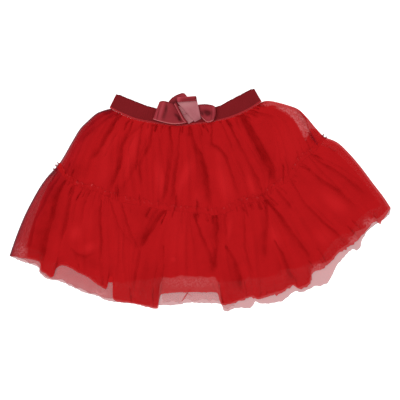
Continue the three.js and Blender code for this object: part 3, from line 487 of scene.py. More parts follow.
class FoldedSheet:
    """The gathered front of a tier: lower folds between the construction's troughs, with finer
    pleats, creases and swells on them."""

    def __init__(self, folds, creases, swells, top_line, bottom_line, plan, waves, pleats, seed):
        self.plan, self.waves, self.creases, self.swells = plan, waves, creases, swells
        self.top_line = top_line
        self.width = (top_line.length + bottom_line.length) / 2
        table = np.array(folds, float)
        self.top = top_line.share_at_x(table[:, 0])
        self.bottom = bottom_line.share_at_x(table[:, 1])
        self.top[[0, -1]] = self.bottom[[0, -1]] = 0, 1
        self.bend = table[:, 2] / self.width
        self.rise = table[:, 3]
        self.random = np.random.default_rng(seed)
        count = len(table) - 1
        self.lean = self.random.uniform(-0.8, 0.8, count)
        self.lean[[0, -1]] = 0
        more = self.random.random((count, WEIGHT_STAGES)) ** 2
        self.weight = LEAST_WEIGHT + MORE_WEIGHT * more
        self.gathered = self.random.random(count) ** 1.6
        self.gather_gone_by = self.random.uniform(0.06, 0.3, count)
        self.rolls = [
            (
                self.random.normal(0, 1, 2) * 2 * np.pi / ROLL_LENGTH,
                self.random.uniform(0, 2 * np.pi),
            )
            for _ in range(4)
        ]
        self.pleats = self.draw_pleats(pleats, count)
        self.lines = self.draw_lines(count)
        columns = []
        for i in range(count):
            wide = self.trough(i + 1, 0.7) - self.trough(i, 0.7)
            steps = max(8, round(float(wide) * self.width / COLUMN_STEP))
            columns.extend(i + k / steps for k in range(steps))
        self.columns = np.array(columns + [float(count)])

    def run_to_top(self, line):
        """A crease's points, with one more at the gathered edge where it starts near that."""
        back = (line[0] - line[1]) / np.linalg.norm(line[0] - line[1])
        reach = line[0] + np.linspace(0, CREASE_START_REACH, 61)[:, None] * back
        gaps = np.linalg.norm(reach[:, None] - self.top_line.points[None], axis=-1).min(axis=1)
        if gaps.argmin() < 2 or gaps.min() > 2:
            return line
        return np.concatenate([reach[gaps.argmin()][None], line])

    def draw_lines(self, count):
        """The listed creases, fainter ones beside them, and short ones from the seam:
        half width, depth, points, and the share of the length over which each one starts."""
        draw = self.random.uniform
        lines = [
            (half, deep, self.run_to_top(np.array(points, float)), 0.04)
            for half, deep, *points in self.creases
        ]
        for half, deep, line, _ in list(lines):
            if self.random.random() > COMPANION_SHARE:
                continue
            run = run_of(line)
            whole = line[-1] - line[0]
            aside = np.array([whole[1], -whole[0]]) / np.linalg.norm(whole)
            at = np.linspace(draw(0, 0.3), draw(0.7, 1), 5) * run[-1]
            beside = np.stack([np.interp(at, run, line[:, k]) for k in (0, 1)], axis=1)
            away = self.random.choice([-1, 1]) * (half + draw(3, 8))
            away = away * np.linspace(1, draw(0.6, 1.5), 5)[:, None]
            lines.append((half * draw(0.35, 0.5), deep * draw(0.3, 0.5), beside + away * aside, 0.2))
        for number, seam, inwards in ((SHORT_GATHERS, 0, 1), (SHORT_GATHERS // 2, 1, -1)):
            for _ in range(number):
                column = draw(0.5, count - 0.5)
                down = seam + inwards * np.linspace(0, draw(0.06, 0.26), 3)
                across = np.array([self.across_at(column, at) for at in down])
                lines.append((draw(0.9, 1.9), draw(2, 6), self.plan(across, down), 0.01))
        return lines

    def crease(self, place):
        """How far the creases lower a place, and how deep it lies in one, 0 to 1, which sets the
        painted shade there.
        """
        x, y = place[..., 0], place[..., 1]
        astray_x = np.sin(0.09 * y + 0.05 * x) + 0.5 * np.sin(0.31 * y + 1)
        astray_y = 0.6 * np.sin(0.12 * x - 0.07 * y)
        place = place + CREASE_WANDER * np.stack([astray_x, astray_y], axis=-1)
        lowered, inside = np.zeros(place.shape[:-1]), np.zeros(place.shape[:-1])
        for k, (half, deep, line, start) in enumerate(self.lines):
            nearest, along, side = from_line(place, line)
            fade = smooth(0, start, along) * (1 - smooth(0.75, 1, along))
            fade = fade * (0.8 + 0.2 * np.sin(8 * along + k))
            half = half * (0.4 + 0.6 * smooth(0, 0.4, along))
            reach = np.where(side > 0, STEEP_BANK * half, SOFT_BANK * half)
            middle = np.exp(-((nearest / reach) ** 2))
            banks = np.exp(-((nearest / (CREASE_FOOT * reach)) ** 2))
            valley = (CREASE_CORE * middle + (1 - CREASE_CORE) * banks) * fade
            lowered += CREASE_DROP * deep * valley
            inside += valley * deep / DARKEST_CREASE
        return lowered, np.clip(inside, 0, 1)

    def swell(self, place):
        """How much a place belongs to a raised part with a painted highlight, or below 0 to a sunken
        one with painted shade.
        """
        total = np.zeros(place.shape[:-1])
        for x, y, half_along, half_across, degrees, strength in self.swells:
            turn = math.radians(degrees)
            right, up = place[..., 0] - x, place[..., 1] - y
            along = (right * math.cos(turn) + up * math.sin(turn)) / half_along
            across = (up * math.cos(turn) - right * math.sin(turn)) / half_across
            total += strength * np.exp(-((along**2 + across**2) ** 1.3))
        return np.clip(total, -1, 1)

    def draw_pleats(self, number, count):
        draw = self.random.uniform
        at = draw(0.3, count - 0.3, number)
        wide = draw(0.15, 0.9, number)
        high = draw(0.1, 0.6, number) * self.random.choice([1, 1, -1], number)
        starts = draw(-0.3, 0.7, number)
        ends = starts + draw(0.2, 0.7, number)
        drift = draw(-0.9, 0.9, number)
        return np.stack([at, wide, high, starts, ends, drift], axis=1)

    def add_pleats(self, height, column, down, wide):
        """Raises or lowers a height by the fine pleats, less where the folds are narrow."""
        for at, half, high, starts, ends, drift in self.pleats:
            off = np.abs(column - at - drift * (down - 0.4))
            near = off < 3 * half
            shape = np.exp(-((off[near] / half) ** 2))
            fade = smooth(starts, starts + 0.15, down[near])
            fade = fade * (1 - smooth(ends - 0.2, ends, down[near]))
            height[near] += high * shape * fade * np.minimum(1, wide[near] / FULL_PLEAT)

    def trough(self, index, down):
        bow = self.bend[index] * 4 * down * (1 - down)
        return self.top[index] * (1 - down) + self.bottom[index] * down + bow

    def across_at(self, column, down):
        """The share across at a place given by its column and its share down."""
        fold = int(column)
        turn = column - fold
        return self.trough(fold, down) * (1 - turn) + self.trough(fold + 1, down) * turn

    def base(self, place, down):
        """How high the front lies without its folds: past the lining's hem it comes down."""
        base = front_base(place)
        return base - (base - SIDE_BASE) * self.waves["hem_drop"] * smooth(0.86, 0.98, down)

    def surface(self, column, down):
        """Place, height above the base, and depth in a trough from 0 to 1 that is painted as shade, for
        columns given in folds from the left side."""
        column, down = np.broadcast_arrays(column, down)
        fold = np.minimum(column.astype(int), len(self.rise) - 2)
        turn = column - fold
        left, right = self.trough(fold, down), self.trough(fold + 1, down)
        wide = np.linalg.norm(self.plan(right, down) - self.plan(left, down), axis=-1)
        stage = np.clip(down, 0, 1) * (WEIGHT_STAGES - 1)
        before = np.minimum(stage.astype(int), WEIGHT_STAGES - 2)
        between = smooth(0, 1, stage - before)
        weight = self.weight[fold, before] * (1 - between)
        weight = weight + self.weight[fold, before + 1] * between
        rise = np.minimum(self.rise[fold], STEEPEST_FOLD * wide) * weight
        waves = self.waves
        grown = smooth(0, waves["full_by"], down)
        fading = 1 - smooth(0, self.gather_gone_by[fold], down)
        main = 0.5 - 0.5 * np.cos(2 * np.pi * turn)
        gather = 0.5 - 0.5 * np.cos(4 * np.pi * turn)
        height = rise * (waves["at_edge"] + (1 - waves["at_edge"]) * grown) * main
        gather_rise = waves["gather"] * self.gathered[fold]
        height = height + gather_rise * fading * gather
        self.add_pleats(height, column, down, wide)
        across = left * (1 - turn) + right * turn
        to_side = np.minimum(across, 1 - across) * self.width
        lean = self.lean[fold] * smooth(4, 24, to_side)
        leaning = lean * rise * main * np.sin(np.pi * np.clip(down * 1.2, 0, 1)) / self.width
        place = self.plan(np.clip(across + leaning, 0, 1), down)
        for direction, start in self.rolls:
            height = height + ROLL_RISE * np.sin(place @ direction + start)
        lowered, inside = self.crease(place)
        height = height + FRONT_RISE - lowered * smooth(0, 0.08, down)
        height = height + SWELL_RISE * self.swell(place)
        height = height * (1 - (1 - waves["at_far_edge"]) * smooth(0.82, 1, down))
        too_low = np.minimum(height - LOWEST_RISE, 0)
        height = np.where(too_low < 0, LOWEST_RISE * np.exp(2 * too_low), height)
        if waves["seam_first"]:
            from_seam = smooth(-0.02, 0.06, down)
        else:
            from_seam = 1 - smooth(0.9, 1.02, down)
        height = SEAM_HEIGHT + (height - SEAM_HEIGHT) * from_seam
        # The depth in a trough is painted as shade: in the creases, and in the gathers between their
        # tops
        depth = inside + GATHER_PAINTED_SHADE * fading * (1 - gather) * self.gathered[fold]
        return place, height, depth, to_side

    def column_at(self, across, down):
        """The column, in folds from the left side, of a share across at a share down."""
        across, down = np.broadcast_arrays(across, down)
        order = np.arange(len(self.top))
        columns = [
            np.interp(row, self.trough(order, at), order)
            for row, at in zip(across.reshape(-1), down.reshape(-1))
        ]
        return np.array(columns).reshape(across.shape)

    def points(self, column, down, lift=FOLDED_WALL / 2):
        place, height, depth, to_side = self.surface(column, down)
        base = self.base(place, down) + lift
        rolled = np.sqrt(1 - (1 - np.clip(to_side / SIDE_ROLL, 0, 1)) ** 2)
        z = BACK_TOP / 2 + (base + height - BACK_TOP / 2) * rolled
        return lifted(place, z), depth


SHEER_PALENESS = 0.55
SIDE_LINE, SIDE_STRIP = 2.8, 18  # how wide the dark line and the softer strip at a side are
HEM_NICKS = 260  # how many times a cut hem turns in or out
LEFT_FRAY = 0.35  # how far the left half of the front's hem is frayed, as a share of the right
FRONT_FRAY_SEED, BACK_FRAY_SEED = 61, 62


def pale_at(place):
    """How crumpled and pale the net is at places, from 0 to 1: painted highlights where it is crumpled,
    and paleness over the sheer patch.
    """
    total = np.zeros(place.shape[:-1])
    for x, y, half_wide, half_high, strength in PALE_SPOTS:
        away = ((place[..., 0] - x) / half_wide) ** 2 + ((place[..., 1] - y) / half_high) ** 2
        total += strength * np.exp(-(away**2))
    ring_points = np.array(SHEER_PATCH, float)
    edge = from_line(place, np.concatenate([ring_points, ring_points[:1]]))[0]
    total += np.where(is_within(place, ring_points), SHEER_PALENESS * smooth(0, 3, edge), 0)
    return np.clip(total, 0, 1)


def shade_at(place, left_side, strip):
    """How dark the net is near its left side, as painted shade that also stands for the net lying
    double there: a line on the fold, and a softer strip inside it.
    """
    away = from_line(place, left_side.place(np.linspace(0, 1, 60)))[0]
    line, inside = np.exp(-((away / SIDE_LINE) ** 2)), np.exp(-((away / SIDE_STRIP) ** 2))
    return np.clip(line + strip * inside, 0, 1)


def fray(points, down, across, reach, seed):
    """Moves the last rows of a sheet in and out along its length, as its cut edge is uneven."""
    random = np.random.default_rng(seed)
    nicks = random.uniform(-0.8, 1, HEM_NICKS) ** 3
    out = reach * np.interp(across, np.linspace(0, 1, HEM_NICKS), nicks)
    along = points[-1, :, :2] - points[-5, :, :2]
    along = along / np.linalg.norm(along, axis=1, keepdims=True)
    points[..., :2] += (smooth(0.95, 1, down) * out)[..., None] * along


def folded_piece(name, sheet, rows, left_side, strip, frayed=0.0):
    """The visible net of a tier's front, with painted shade in its creases and on its left fold,
    painted highlights on its swells, and a frayed hem.
    """
    down = np.linspace(0, 1, rows)[:, None]
    points, depth = sheet.points(sheet.columns[None, :], down)
    across = np.interp(sheet.columns, np.arange(len(sheet.bottom)), sheet.bottom)
    reach = frayed * (LEFT_FRAY + (1 - LEFT_FRAY) * smooth(0.5, 0.7, across))
    fray(points, down, across, reach, FRONT_FRAY_SEED)
    piece = make_object(name, points, grid_faces(rows, len(sheet.columns)))
    place = points[..., :2]
    tone = sheet.swell(place)
    # Painted shade in creases, gathers and sunken parts; painted highlights on swells and crumples;
    # painted shade by the left fold
    set_values(
        piece,
        depth=np.clip(depth + 0.6 * np.clip(-tone, 0, 1), 0, 1),
        light=np.clip(tone, 0, 1) * (1 - np.clip(depth, 0, 1)),
        pale=pale_at(place),
        shade=shade_at(place, left_side, strip),
    )
    return piece


# Materials
class Material:
    """A material with one shader, and short ways to make its nodes and link them."""

    def __init__(self, name, roughness, specular):
        self.material = bpy.data.materials.new(name)
        self.material.use_nodes = True
        self.nodes, self.links = self.material.node_tree.nodes, self.material.node_tree.links
        self.nodes.clear()
        self.shader = self.nodes.new("ShaderNodeBsdfPrincipled")
        output = self.nodes.new("ShaderNodeOutputMaterial")
        self.links.new(self.shader.outputs["BSDF"], output.inputs["Surface"])
        self.set_inputs(self.shader, {"Roughness": roughness, "Specular IOR Level": specular})

    def set_inputs(self, node, inputs):
        """Sets a node's inputs to values, or links them to other nodes' outputs."""
        for key, value in inputs.items():
            if isinstance(value, bpy.types.NodeSocket):
                self.links.new(value, node.inputs[key])
            else:
                node.inputs[key].default_value = value

    def shade(self, inputs):
        self.set_inputs(self.shader, inputs)

    def node(self, kind, inputs, **settings):
        """The outputs of a new node with its properties and inputs set."""
        node = self.nodes.new("ShaderNode" + kind)
        for key, value in settings.items():
            setattr(node, key, value)
        self.set_inputs(node, inputs)
        return node.outputs

    def place(self):
        return self.node("TexCoord", {})["Object"]

    def value(self, name):
        """The numbers that set_values gave to the mesh."""
        return self.node("Attribute", {}, attribute_name=name)["Fac"]

    def mix(self, factor, first, second):
        return self.node("Mix", {0: factor, 6: first, 7: second}, data_type="RGBA")[2]

    def math(self, operation, first, second, clamp=False):
        inputs = {0: first, 1: second}
        return self.node("Math", inputs, operation=operation, use_clamp=clamp)[0]

    def times(self, first, second, clamp=False):
        return self.math("MULTIPLY", first, second, clamp)

    def noise(self, size_mm, detail=2.0, roughness=0.5):
        scale = 1 / (size_mm * MM)
        inputs = {"Scale": scale, "Detail": detail, "Roughness": roughness, "Vector": self.place()}
        return self.node("TexNoise", inputs)["Fac"]

    def spread(self, value, low, high, to_low=0.0, to_high=1.0):
        """A value's range from low to high, spread over another range."""
        limits = {"From Min": low, "From Max": high, "To Min": to_low, "To Max": to_high}
        return self.node("MapRange", {"Value": value, **limits})["Result"]

    def bump(self, height, strength, distance_mm):
        inputs = {"Height": height, "Strength": strength, "Distance": distance_mm * MM}
        self.shade({"Normal": self.node("Bump", inputs)["Normal"]})


def srgb(red, green, blue):
    def linear(value):
        value = value / 255
        return value / 12.92 if value <= 0.04045 else ((value + 0.055) / 1.055) ** 2.4

    return (linear(red), linear(green), linear(blue), 1.0)


NET_CELL = 1.1  # across one hole of the net
NET_LIGHT = (0.6, 0.0125, 0.0155, 1)  # painted highlight where it swells towards the light painted highlight where it is crumpled, and paler over its sheer parts painted shade on a side fold, and a darker line on a cut edge
NET_PALE = (0.66, 0.14, 0.15, 1)  # where it is crumpled
NET_SHADE = (0.12, 0.004, 0.014, 1)  # on a side fold and a cut edge


def net_material(name, red, deep, alpha, drift):
    """Sheer net: fine six-sided cells, a soft mottle, painted shade in its troughs and on its side
    folds, and painted highlights where it swells and where it is crumpled.
    """
    cloth = Material(name, 0.75, 0.04)
    cell = {"Vector": cloth.place(), "Scale": 1 / (NET_CELL * MM), "Randomness": 0.35}
    from_thread = cloth.node("TexVoronoi", cell, feature="DISTANCE_TO_EDGE")["Distance"]
    thread = cloth.spread(from_thread, 0.05, 0.2, 1.0, 0.0)
    mottle = cloth.spread(cloth.noise(14, 3), 0.35, 0.65)
    crumpled = cloth.spread(cloth.noise(3.2, 3, 0.65), 0.44, 0.6, 0.1, 1.0)
    lighter = tuple(channel * 1.18 for channel in red[:3]) + (1.0,)
    # Painted shade in troughs from the depth values, painted highlights on swells from the light
    # values, pale flecks from the pale values (painted highlights where the net is crumpled), and
    # painted shade on side folds from the shade values
    colour = cloth.mix(cloth.value("depth"), red, deep)
    colour = cloth.mix(cloth.value("light"), colour, NET_LIGHT)
    colour = cloth.mix(cloth.times(mottle, drift), colour, lighter)
    colour = cloth.mix(cloth.times(thread, 0.2), colour, lighter)
    colour = cloth.mix(cloth.times(cloth.value("pale"), crumpled, True), colour, NET_PALE)
    colour = cloth.mix(cloth.value("shade"), colour, NET_SHADE)
    cloth.bump(thread, 0.25, 0.15)
    cloth.shade({"Base Color": colour, "Alpha": alpha})
    cloth.shade({"Sheen Weight": 0.04, "Sheen Tint": srgb(255, 110, 110)})
    return cloth.material


net_front = net_material(
    "net_front", (0.475, 0.0068, 0.009, 1), (0.25, 0.001, 0.0016, 1), 0.86, 0.25
)
net_back = net_material("net_back", (0.315, 0.006, 0.012, 1), (0.2, 0.004, 0.01, 1), 0.655, 0.6)
# The back's net where it lies double, painted brighter than the back: painted light against the shade
# that the two layers cast on each other
net_double = net_material("net_double", (0.47, 0.008, 0.015, 1), (0.3, 0.004, 0.01, 1), 0.55, 0.6)
net_wisp = net_material("net_wisp", (0.45, 0.008, 0.014, 1), (0.3, 0.004, 0.01, 1), 0.22, 0.6)

LINING_RED, LINING_LIGHT = (0.44, 0.004, 0.006, 1), (0.5, 0.006, 0.008, 1)
LINING_THREAD = 0.4  # from one thread of the lining to the next
WAVE_PITCH = 3.2  # what a wave texture's scale is divided by to give its pitch


def lining_material():
    """A plain woven cloth with fine crossing threads."""
    cloth = Material("lining_cloth", 0.85, 0.1)
    inputs = {
        "Vector": cloth.place(), "Scale": 1 / (LINING_THREAD * MM * WAVE_PITCH), "Distortion": 1.5
    }
    weave = cloth.times(
        *(cloth.node("TexWave", inputs, bands_direction=way)["Fac"] for way in ("X", "Y"))
    )
    mottle = cloth.spread(cloth.noise(20, 3), 0.3, 0.7)
    tone = cloth.math("ADD", cloth.times(mottle, 0.7), cloth.times(weave, 0.3), True)
    cloth.shade({"Base Color": cloth.mix(tone, LINING_RED, LINING_LIGHT)})
    cloth.bump(weave, 0.3, 0.1)
    return cloth.material


lining_cloth = lining_material()

ELASTIC_RED, ELASTIC_GROOVE = srgb(130, 21, 28), srgb(102, 10, 16)
ELASTIC_THREAD, ELASTIC_MOTTLE = srgb(148, 31, 37), srgb(112, 13, 17)
ELASTIC_TOP, ELASTIC_FOOT = srgb(88, 8, 18), srgb(186, 44, 50)


def elastic_material():
    """Ribbed elastic, with painted shade in the grooves between its ribs, a darker upper edge and a
    paler lower one where the net joins.
    """
    cloth = Material("elastic_cloth", 0.85, 0.15)
    at = cloth.value("across")
    half_rib = 0.5 / BAND_RIBS
    groove = cloth.spread(cloth.math("PINGPONG", at, half_rib), 0, half_rib, 1, 0)
    threads = cloth.noise(0.9)
    mottle = cloth.spread(cloth.noise(26), 0.4, 0.62)
    # Painted shade in the grooves between the ribs
    colour = cloth.mix(groove, ELASTIC_RED, ELASTIC_GROOVE)
    colour = cloth.mix(cloth.times(threads, 0.35), colour, ELASTIC_THREAD)
    colour = cloth.mix(cloth.times(mottle, 0.3), colour, ELASTIC_MOTTLE)
    colour = cloth.mix(cloth.times(cloth.spread(at, 0.9, 0.97), 0.6), colour, ELASTIC_TOP)
    colour = cloth.mix(cloth.spread(at, 0.105, 0.06), colour, ELASTIC_FOOT)
    cloth.shade({"Base Color": colour})
    cloth.bump(threads, 0.3, 0.15)
    return cloth.material


elastic_cloth = elastic_material()

SELVEDGE = srgb(222, 122, 124)


def ribbon_material(name, base, light, dark, sheen, nap_mm):
    """Velvet ribbon or its reverse: a soft nap with paler and darker drifts, painted shade and painted
    highlights from its pieces' values, and pale edges.
    """
    cloth = Material(name, 0.7, 0.2)
    drift = cloth.spread(cloth.noise(9, 3, 0.6), 0.35, 0.75, 0, 0.35)
    nap = cloth.noise(nap_mm, 3, 0.7)
    colour = cloth.mix(drift, base, dark)
    colour = cloth.mix(cloth.spread(nap, 0.3, 0.75, 0, 0.45), colour, light)
    # Painted shade from the darker values, painted highlights from the paler values, then the pale
    # selvedge
    for values, tint in (("darker", dark), ("paler", light), ("rim", SELVEDGE)):
        colour = cloth.mix(cloth.value(values), colour, tint)
    cloth.shade({"Base Color": colour, "Sheen Weight": sheen})
    cloth.shade({"Sheen Roughness": 0.35, "Sheen Tint": srgb(255, 150, 160)})
    cloth.bump(nap, 0.25, 0.12)
    return cloth.material


velvet_cloth = ribbon_material(
    "velvet_cloth", srgb(140, 25, 34), srgb(174, 60, 72), srgb(92, 3, 12), 0.12, 0.7
)
reverse_cloth = ribbon_material(
    "reverse_cloth", srgb(178, 98, 106), srgb(190, 128, 130), srgb(140, 60, 70), 0.1, 0.5
)


def dress(piece, material, slot, *nodes):
    piece.data.materials.append(material)
    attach(piece, "root")
    if nodes:
        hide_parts(*nodes)
    return piece


# The gathered fronts
upper_sheet = FoldedSheet(
    UPPER_FOLDS, UPPER_CREASES, UPPER_SWELLS, waist_line, seam_above, upper_plan, UPPER_WAVES,
    34, 5,
)
ruffle_sheet = FoldedSheet(
    RUFFLE_FOLDS, RUFFLE_CREASES, RUFFLE_SWELLS, seam_below, hem_front, ruffle_front_plan,
    RUFFLE_WAVES, 50, 8,
)
upper_front = folded_piece("upper_front_net", upper_sheet, 84, upper_sides[0], 0.3)
dress(upper_front, net_front, "tulle", "upper_front")
ruffle_front = folded_piece("ruffle_front_net", ruffle_sheet, 88, ruffle_sides[0], 0.45, 3.2)
dress(ruffle_front, net_front, "tulle", "ruffle_front")


# The folds' turned-under layer, which makes the front denser nearly to its sides and hem: its
# margins as shares of the width, and its end as a share of the length
UPPER_UNDER_LEFT = [(0, 0.008), (1, 0.01)]
UPPER_UNDER_RIGHT = [(0, 0.012), (0.3, 0.03), (0.7, 0.055), (0.85, 0.02), (1, 0.01)]
RUFFLE_UNDER_LEFT = [(0, 0.012), (0.3, 0.022), (0.7, 0.03), (1, 0.036)]
RUFFLE_UNDER_RIGHT = [(0, 0.006), (1, 0.006)]
RUFFLE_UNDER_ENDS = [
    (0, 0.985), (0.3, 0.985), (0.33, 0.99), (0.375, 0.99), (0.383, 0.80), (0.4, 0.815), (0.44, 0.80),
    (0.5, 0.81), (0.545, 0.8), (0.553, 0.985), (0.62, 0.985), (0.68, 0.975), (0.72, 0.985),
    (0.77, 0.98), (0.8, 0.94), (0.83, 0.985), (0.88, 0.97), (0.905, 0.92), (0.93, 0.975),
    (0.96, 0.95), (1, 0.98),
]
UNDER_COLUMNS = 420
UNDER_RISE, UNDER_RIPPLE = 0.1, 0.4  # its height over the base, and its ripples' height


def underlayer(name, sheet, rows, left, right, ends):
    """A sheet just under the gathered one, between margins given by down, and down to shares of
    the length given by the share across."""
    step = np.linspace(0, 1, UNDER_COLUMNS)
    row, step = np.meshgrid(np.linspace(0, 1, rows), step, indexing="ij")
    down = row * column_of(ends, 1, step)
    low, high = column_of(left, 1, down), 1 - column_of(right, 1, down)
    place = sheet.plan(low + (high - low) * step, down)
    ripple = 0.5 + 0.3 * np.sin(step * 190 + 3 * np.sin(down * 5))
    ripple = ripple + 0.2 * np.sin(step * 431 + down * 9)
    points = lifted(place, sheet.base(place, down) + UNDER_RISE + UNDER_RIPPLE * ripple)
    piece = make_object(name, points, grid_faces(rows, UNDER_COLUMNS))
    set_values(piece, depth=0.3 * ripple)
    return dress(piece, net_front, "tulle")


upper_under = underlayer(
    "upper_front_underlayer", upper_sheet, 40, UPPER_UNDER_LEFT, UPPER_UNDER_RIGHT, [(0, 1), (1, 1)]
)
ruffle_under = underlayer(
    "ruffle_front_underlayer", ruffle_sheet, 50, RUFFLE_UNDER_LEFT, RUFFLE_UNDER_RIGHT,
    RUFFLE_UNDER_ENDS,
)

# The side fold at the right of the upper tier, turned over on itself: its inner edge, the shares
# down where it starts and ends, and how high it lies over the front
RIGHT_FOLD_LINE = [(158, 150), (168, 138), (174, 129), (178, 118), (181, 108), (187, 96), (195, 84)]
RIGHT_FOLD_START, RIGHT_FOLD_END = 0.42, 0.985
RIGHT_FOLD_LIFT = 0.7
RIGHT_FOLD_NOTCH = 0.757  # the share down where its outer edge draws in


def right_fold():
    """A narrow second layer between a line on the front and the right side."""
    rows, columns = 60, 16
    down = np.linspace(RIGHT_FOLD_START, RIGHT_FOLD_END, rows)
    share = np.linspace(0.75, 1, 500)
    edge = Outline(RIGHT_FOLD_LINE).place(np.linspace(0, 1, 200))
    inner = []
    for at in down:
        gap = np.linalg.norm(upper_plan(share, at)[:, None] - edge[None], axis=-1).min(axis=1)
        inner.append(share[gap.argmin()])
    inner = np.array(inner)[:, None]
    outer = 0.997 - 0.02 * np.exp(-(((down - RIGHT_FOLD_NOTCH) / 0.06) ** 2))[:, None]
    across = inner + (outer - inner) * np.linspace(0, 1, columns)
    down = np.broadcast_to(down[:, None], across.shape)
    column = upper_sheet.column_at(across, down)
    points, depth = upper_sheet.points(column, down, FOLDED_WALL / 2 + RIGHT_FOLD_LIFT)
    piece = make_object("upper_right_fold", points, grid_faces(rows, columns))
    line = np.exp(-((np.arange(columns) / 3) ** 2)) * smooth(RIGHT_FOLD_START, 0.55, down)
    set_values(piece, depth=0.4 * depth + 0.5 * line, shade=0.5 * line)
    return dress(piece, net_front, "tulle")


right_fold_piece = right_fold()

# The backs
BACK_LOW, BACK_HIGH = 0.25, 1.1
BACK_FRAY = 1.6  # how far the back's cut hem strays in and out
DOUBLE_LOW, DOUBLE_RISE = 0.35, 0.9  # the double parts' height at the left side, and further in
# Where the back is folded over on itself by the hem: inner x, y, outer x, y, half width
BACK_TUCKS = [(-15, -146, -30, -168, 1.1), (-24, -152, -13, -160, 0.5)]


def back_points(plan, columns, down, seed, creases):
    """The back as it lies: nearly flat, with soft low rolls, and low creases like the front's in
    mirror image, with painted shade in them."""
    random = np.random.default_rng(seed)
    across, down = np.meshgrid(np.linspace(0, 1, columns), down)
    place = plan(across, down)
    rolls = np.zeros(place.shape[:2])
    for _ in range(14):
        direction = random.normal(0, 1, 2) * 2 * np.pi / random.uniform(25, 90)
        rolls += np.sin(place @ direction + random.uniform(0, 6))
    share = (0.5 + 0.1 * rolls).clip(0.05, 1)
    inside = np.zeros(place.shape[:2])
    for half, deep, *route in creases:
        nearest, along, _ = from_line(place, np.array(route, float) * (-1, 1))
        fade = smooth(0, 0.12, along) * (1 - smooth(0.8, 1, along))
        inside += np.exp(-((nearest / (1.6 * half)) ** 2)) * fade * deep / DARKEST_CREASE
    inside = inside.clip(0, 1)
    height = BACK_LOW + (BACK_HIGH - BACK_LOW) * (share + (1 - share) * inside)
    return lifted(place, height), inside


def back_piece(name, plan, columns, down, seed, creases, left_side, has_hem):
    """One tier's back, with a darker line along its cut hem, painted shade on its left fold, and
    painted shade in its creases.
    """
    points, inside = back_points(plan, columns, down, seed, creases)
    if has_hem:
        fray(points, down[:, None], np.linspace(0, 1, columns), BACK_FRAY, BACK_FRAY_SEED)
    piece = make_object(name, points, grid_faces(len(down), columns))
    shade = shade_at(points[..., :2], left_side, 0)
    if has_hem:
        from_hem = (1 - down)[:, None] * RUFFLE_TIER_LENGTH
        shade = shade + 0.4 * np.exp(-((from_hem / 1.1) ** 2))
    set_values(piece, shade=np.clip(shade, 0, 1), depth=0.7 * inside)
    return piece


def back_tucks():
    """Narrow tucks of the back, each a second layer on it."""
    points, faces = strips(
        BACK_TUCKS, 14, 9,
        lambda t, x0: (1 + 0.25 * np.sin(5 * t + x0)) * smooth(-0.1, 0.5, 1.1 - t),
        lambda t, side: BACK_HIGH + 0.15 + 0.35 * (1 - side**2),
    )
    piece = make_object("ruffle_back_tucks", points, faces)
    # Painted light: the tucks take the net's lighter colour all over, against the shade between the
    # layers
    set_values(piece, light=np.ones(len(points)))
    return dress(piece, net_back, "tulle")


def back_double(name, across, down, material, seed):
    """A part of the ruffle's back that lies double, with an uneven lower edge, between two
    shares across and two shares down."""
    random = np.random.default_rng(seed)
    step, row = np.meshgrid(np.linspace(0, 1, 160), np.linspace(0, 1, 50))
    uneven = np.interp(step, np.linspace(0, 1, 24), random.uniform(-0.025, 0, 24))
    low = down[0] + (down[1] + uneven - down[0]) * row
    place = ruffle_back_plan(across[0] + (across[1] - across[0]) * step, low)
    to_side = from_line(place, ruffle_sides[0].place(np.linspace(0, 1, 60)))[0]
    z = DOUBLE_LOW + DOUBLE_RISE * smooth(0, 7, to_side) + 0.06 * np.sin(place[..., 0] * 0.4)
    piece = make_object(name, lifted(place, z), grid_faces(50, 160))
    to_hem = (low - down[1] - uneven) * RUFFLE_TIER_LENGTH
    pale = 0.6 * smooth(-10, -3, to_hem) + 0.5 * np.exp(-(((step - 0.88) / 0.06) ** 2))
    set_values(piece, shade=0.25 * np.exp(-((to_hem / 1.2) ** 2)), pale=pale)
    return dress(piece, material, "tulle")


upper_back = back_piece(
    "upper_back_net", upper_plan, 300, np.linspace(0, 1, 50), 31, UPPER_CREASES, upper_sides[0],
    False,
)
dress(upper_back, net_back, "tulle", "upper_back")
hem_rows = np.concatenate([np.linspace(0, 0.9, 22), np.linspace(0.92, 1, 14)])
ruffle_back = back_piece(
    "ruffle_back_net", ruffle_back_plan, 520, hem_rows, 32, RUFFLE_CREASES, ruffle_sides[0], True
)
dress(ruffle_back, net_back, "tulle", "ruffle_back")
tucks = back_tucks()
double_left = back_double(
    "ruffle_back_double_left", (0.003, 0.262), (0.02, 0.995), net_double, 51
)
double_centre = back_double(
    "ruffle_back_double_centre", (0.37, 0.543), (0.6, 0.985), net_wisp, 52
)


# The lining, front and back
def lining_piece(name, base, seed):
    """An opaque panel with soft low rolls and a hem that runs a little unevenly."""
    random = np.random.default_rng(seed)
    rows, columns = 70, 220
    step, row = np.meshgrid(np.linspace(0, 1, columns), np.linspace(0, 2, rows))
    uneven = np.interp(step, np.linspace(0, 1, 70), random.uniform(-0.012, 0.012, 70))
    hem = column_of(LINING_HEM, 1, step) + uneven
    is_upper = row <= 1
    share = np.where(is_upper, row, (row - 1) * hem)
    across = lining_across(step, np.where(is_upper, row, 1 + share))
    upper = upper_plan(across, np.where(is_upper, share, 1))
    lower = ruffle_back_plan(across, np.where(is_upper, 0, share))
    place = np.where(is_upper[..., None], upper, lower)
    height = np.full(place.shape[:2], base)
    for _ in range(6):
        direction = np.array([1, 0.25 * random.normal()]) * 2 * np.pi / random.uniform(30, 70)
        height += 0.07 * np.sin(place @ direction + random.uniform(0, 6))
    return make_object(name, lifted(place, height), grid_faces(rows, columns))


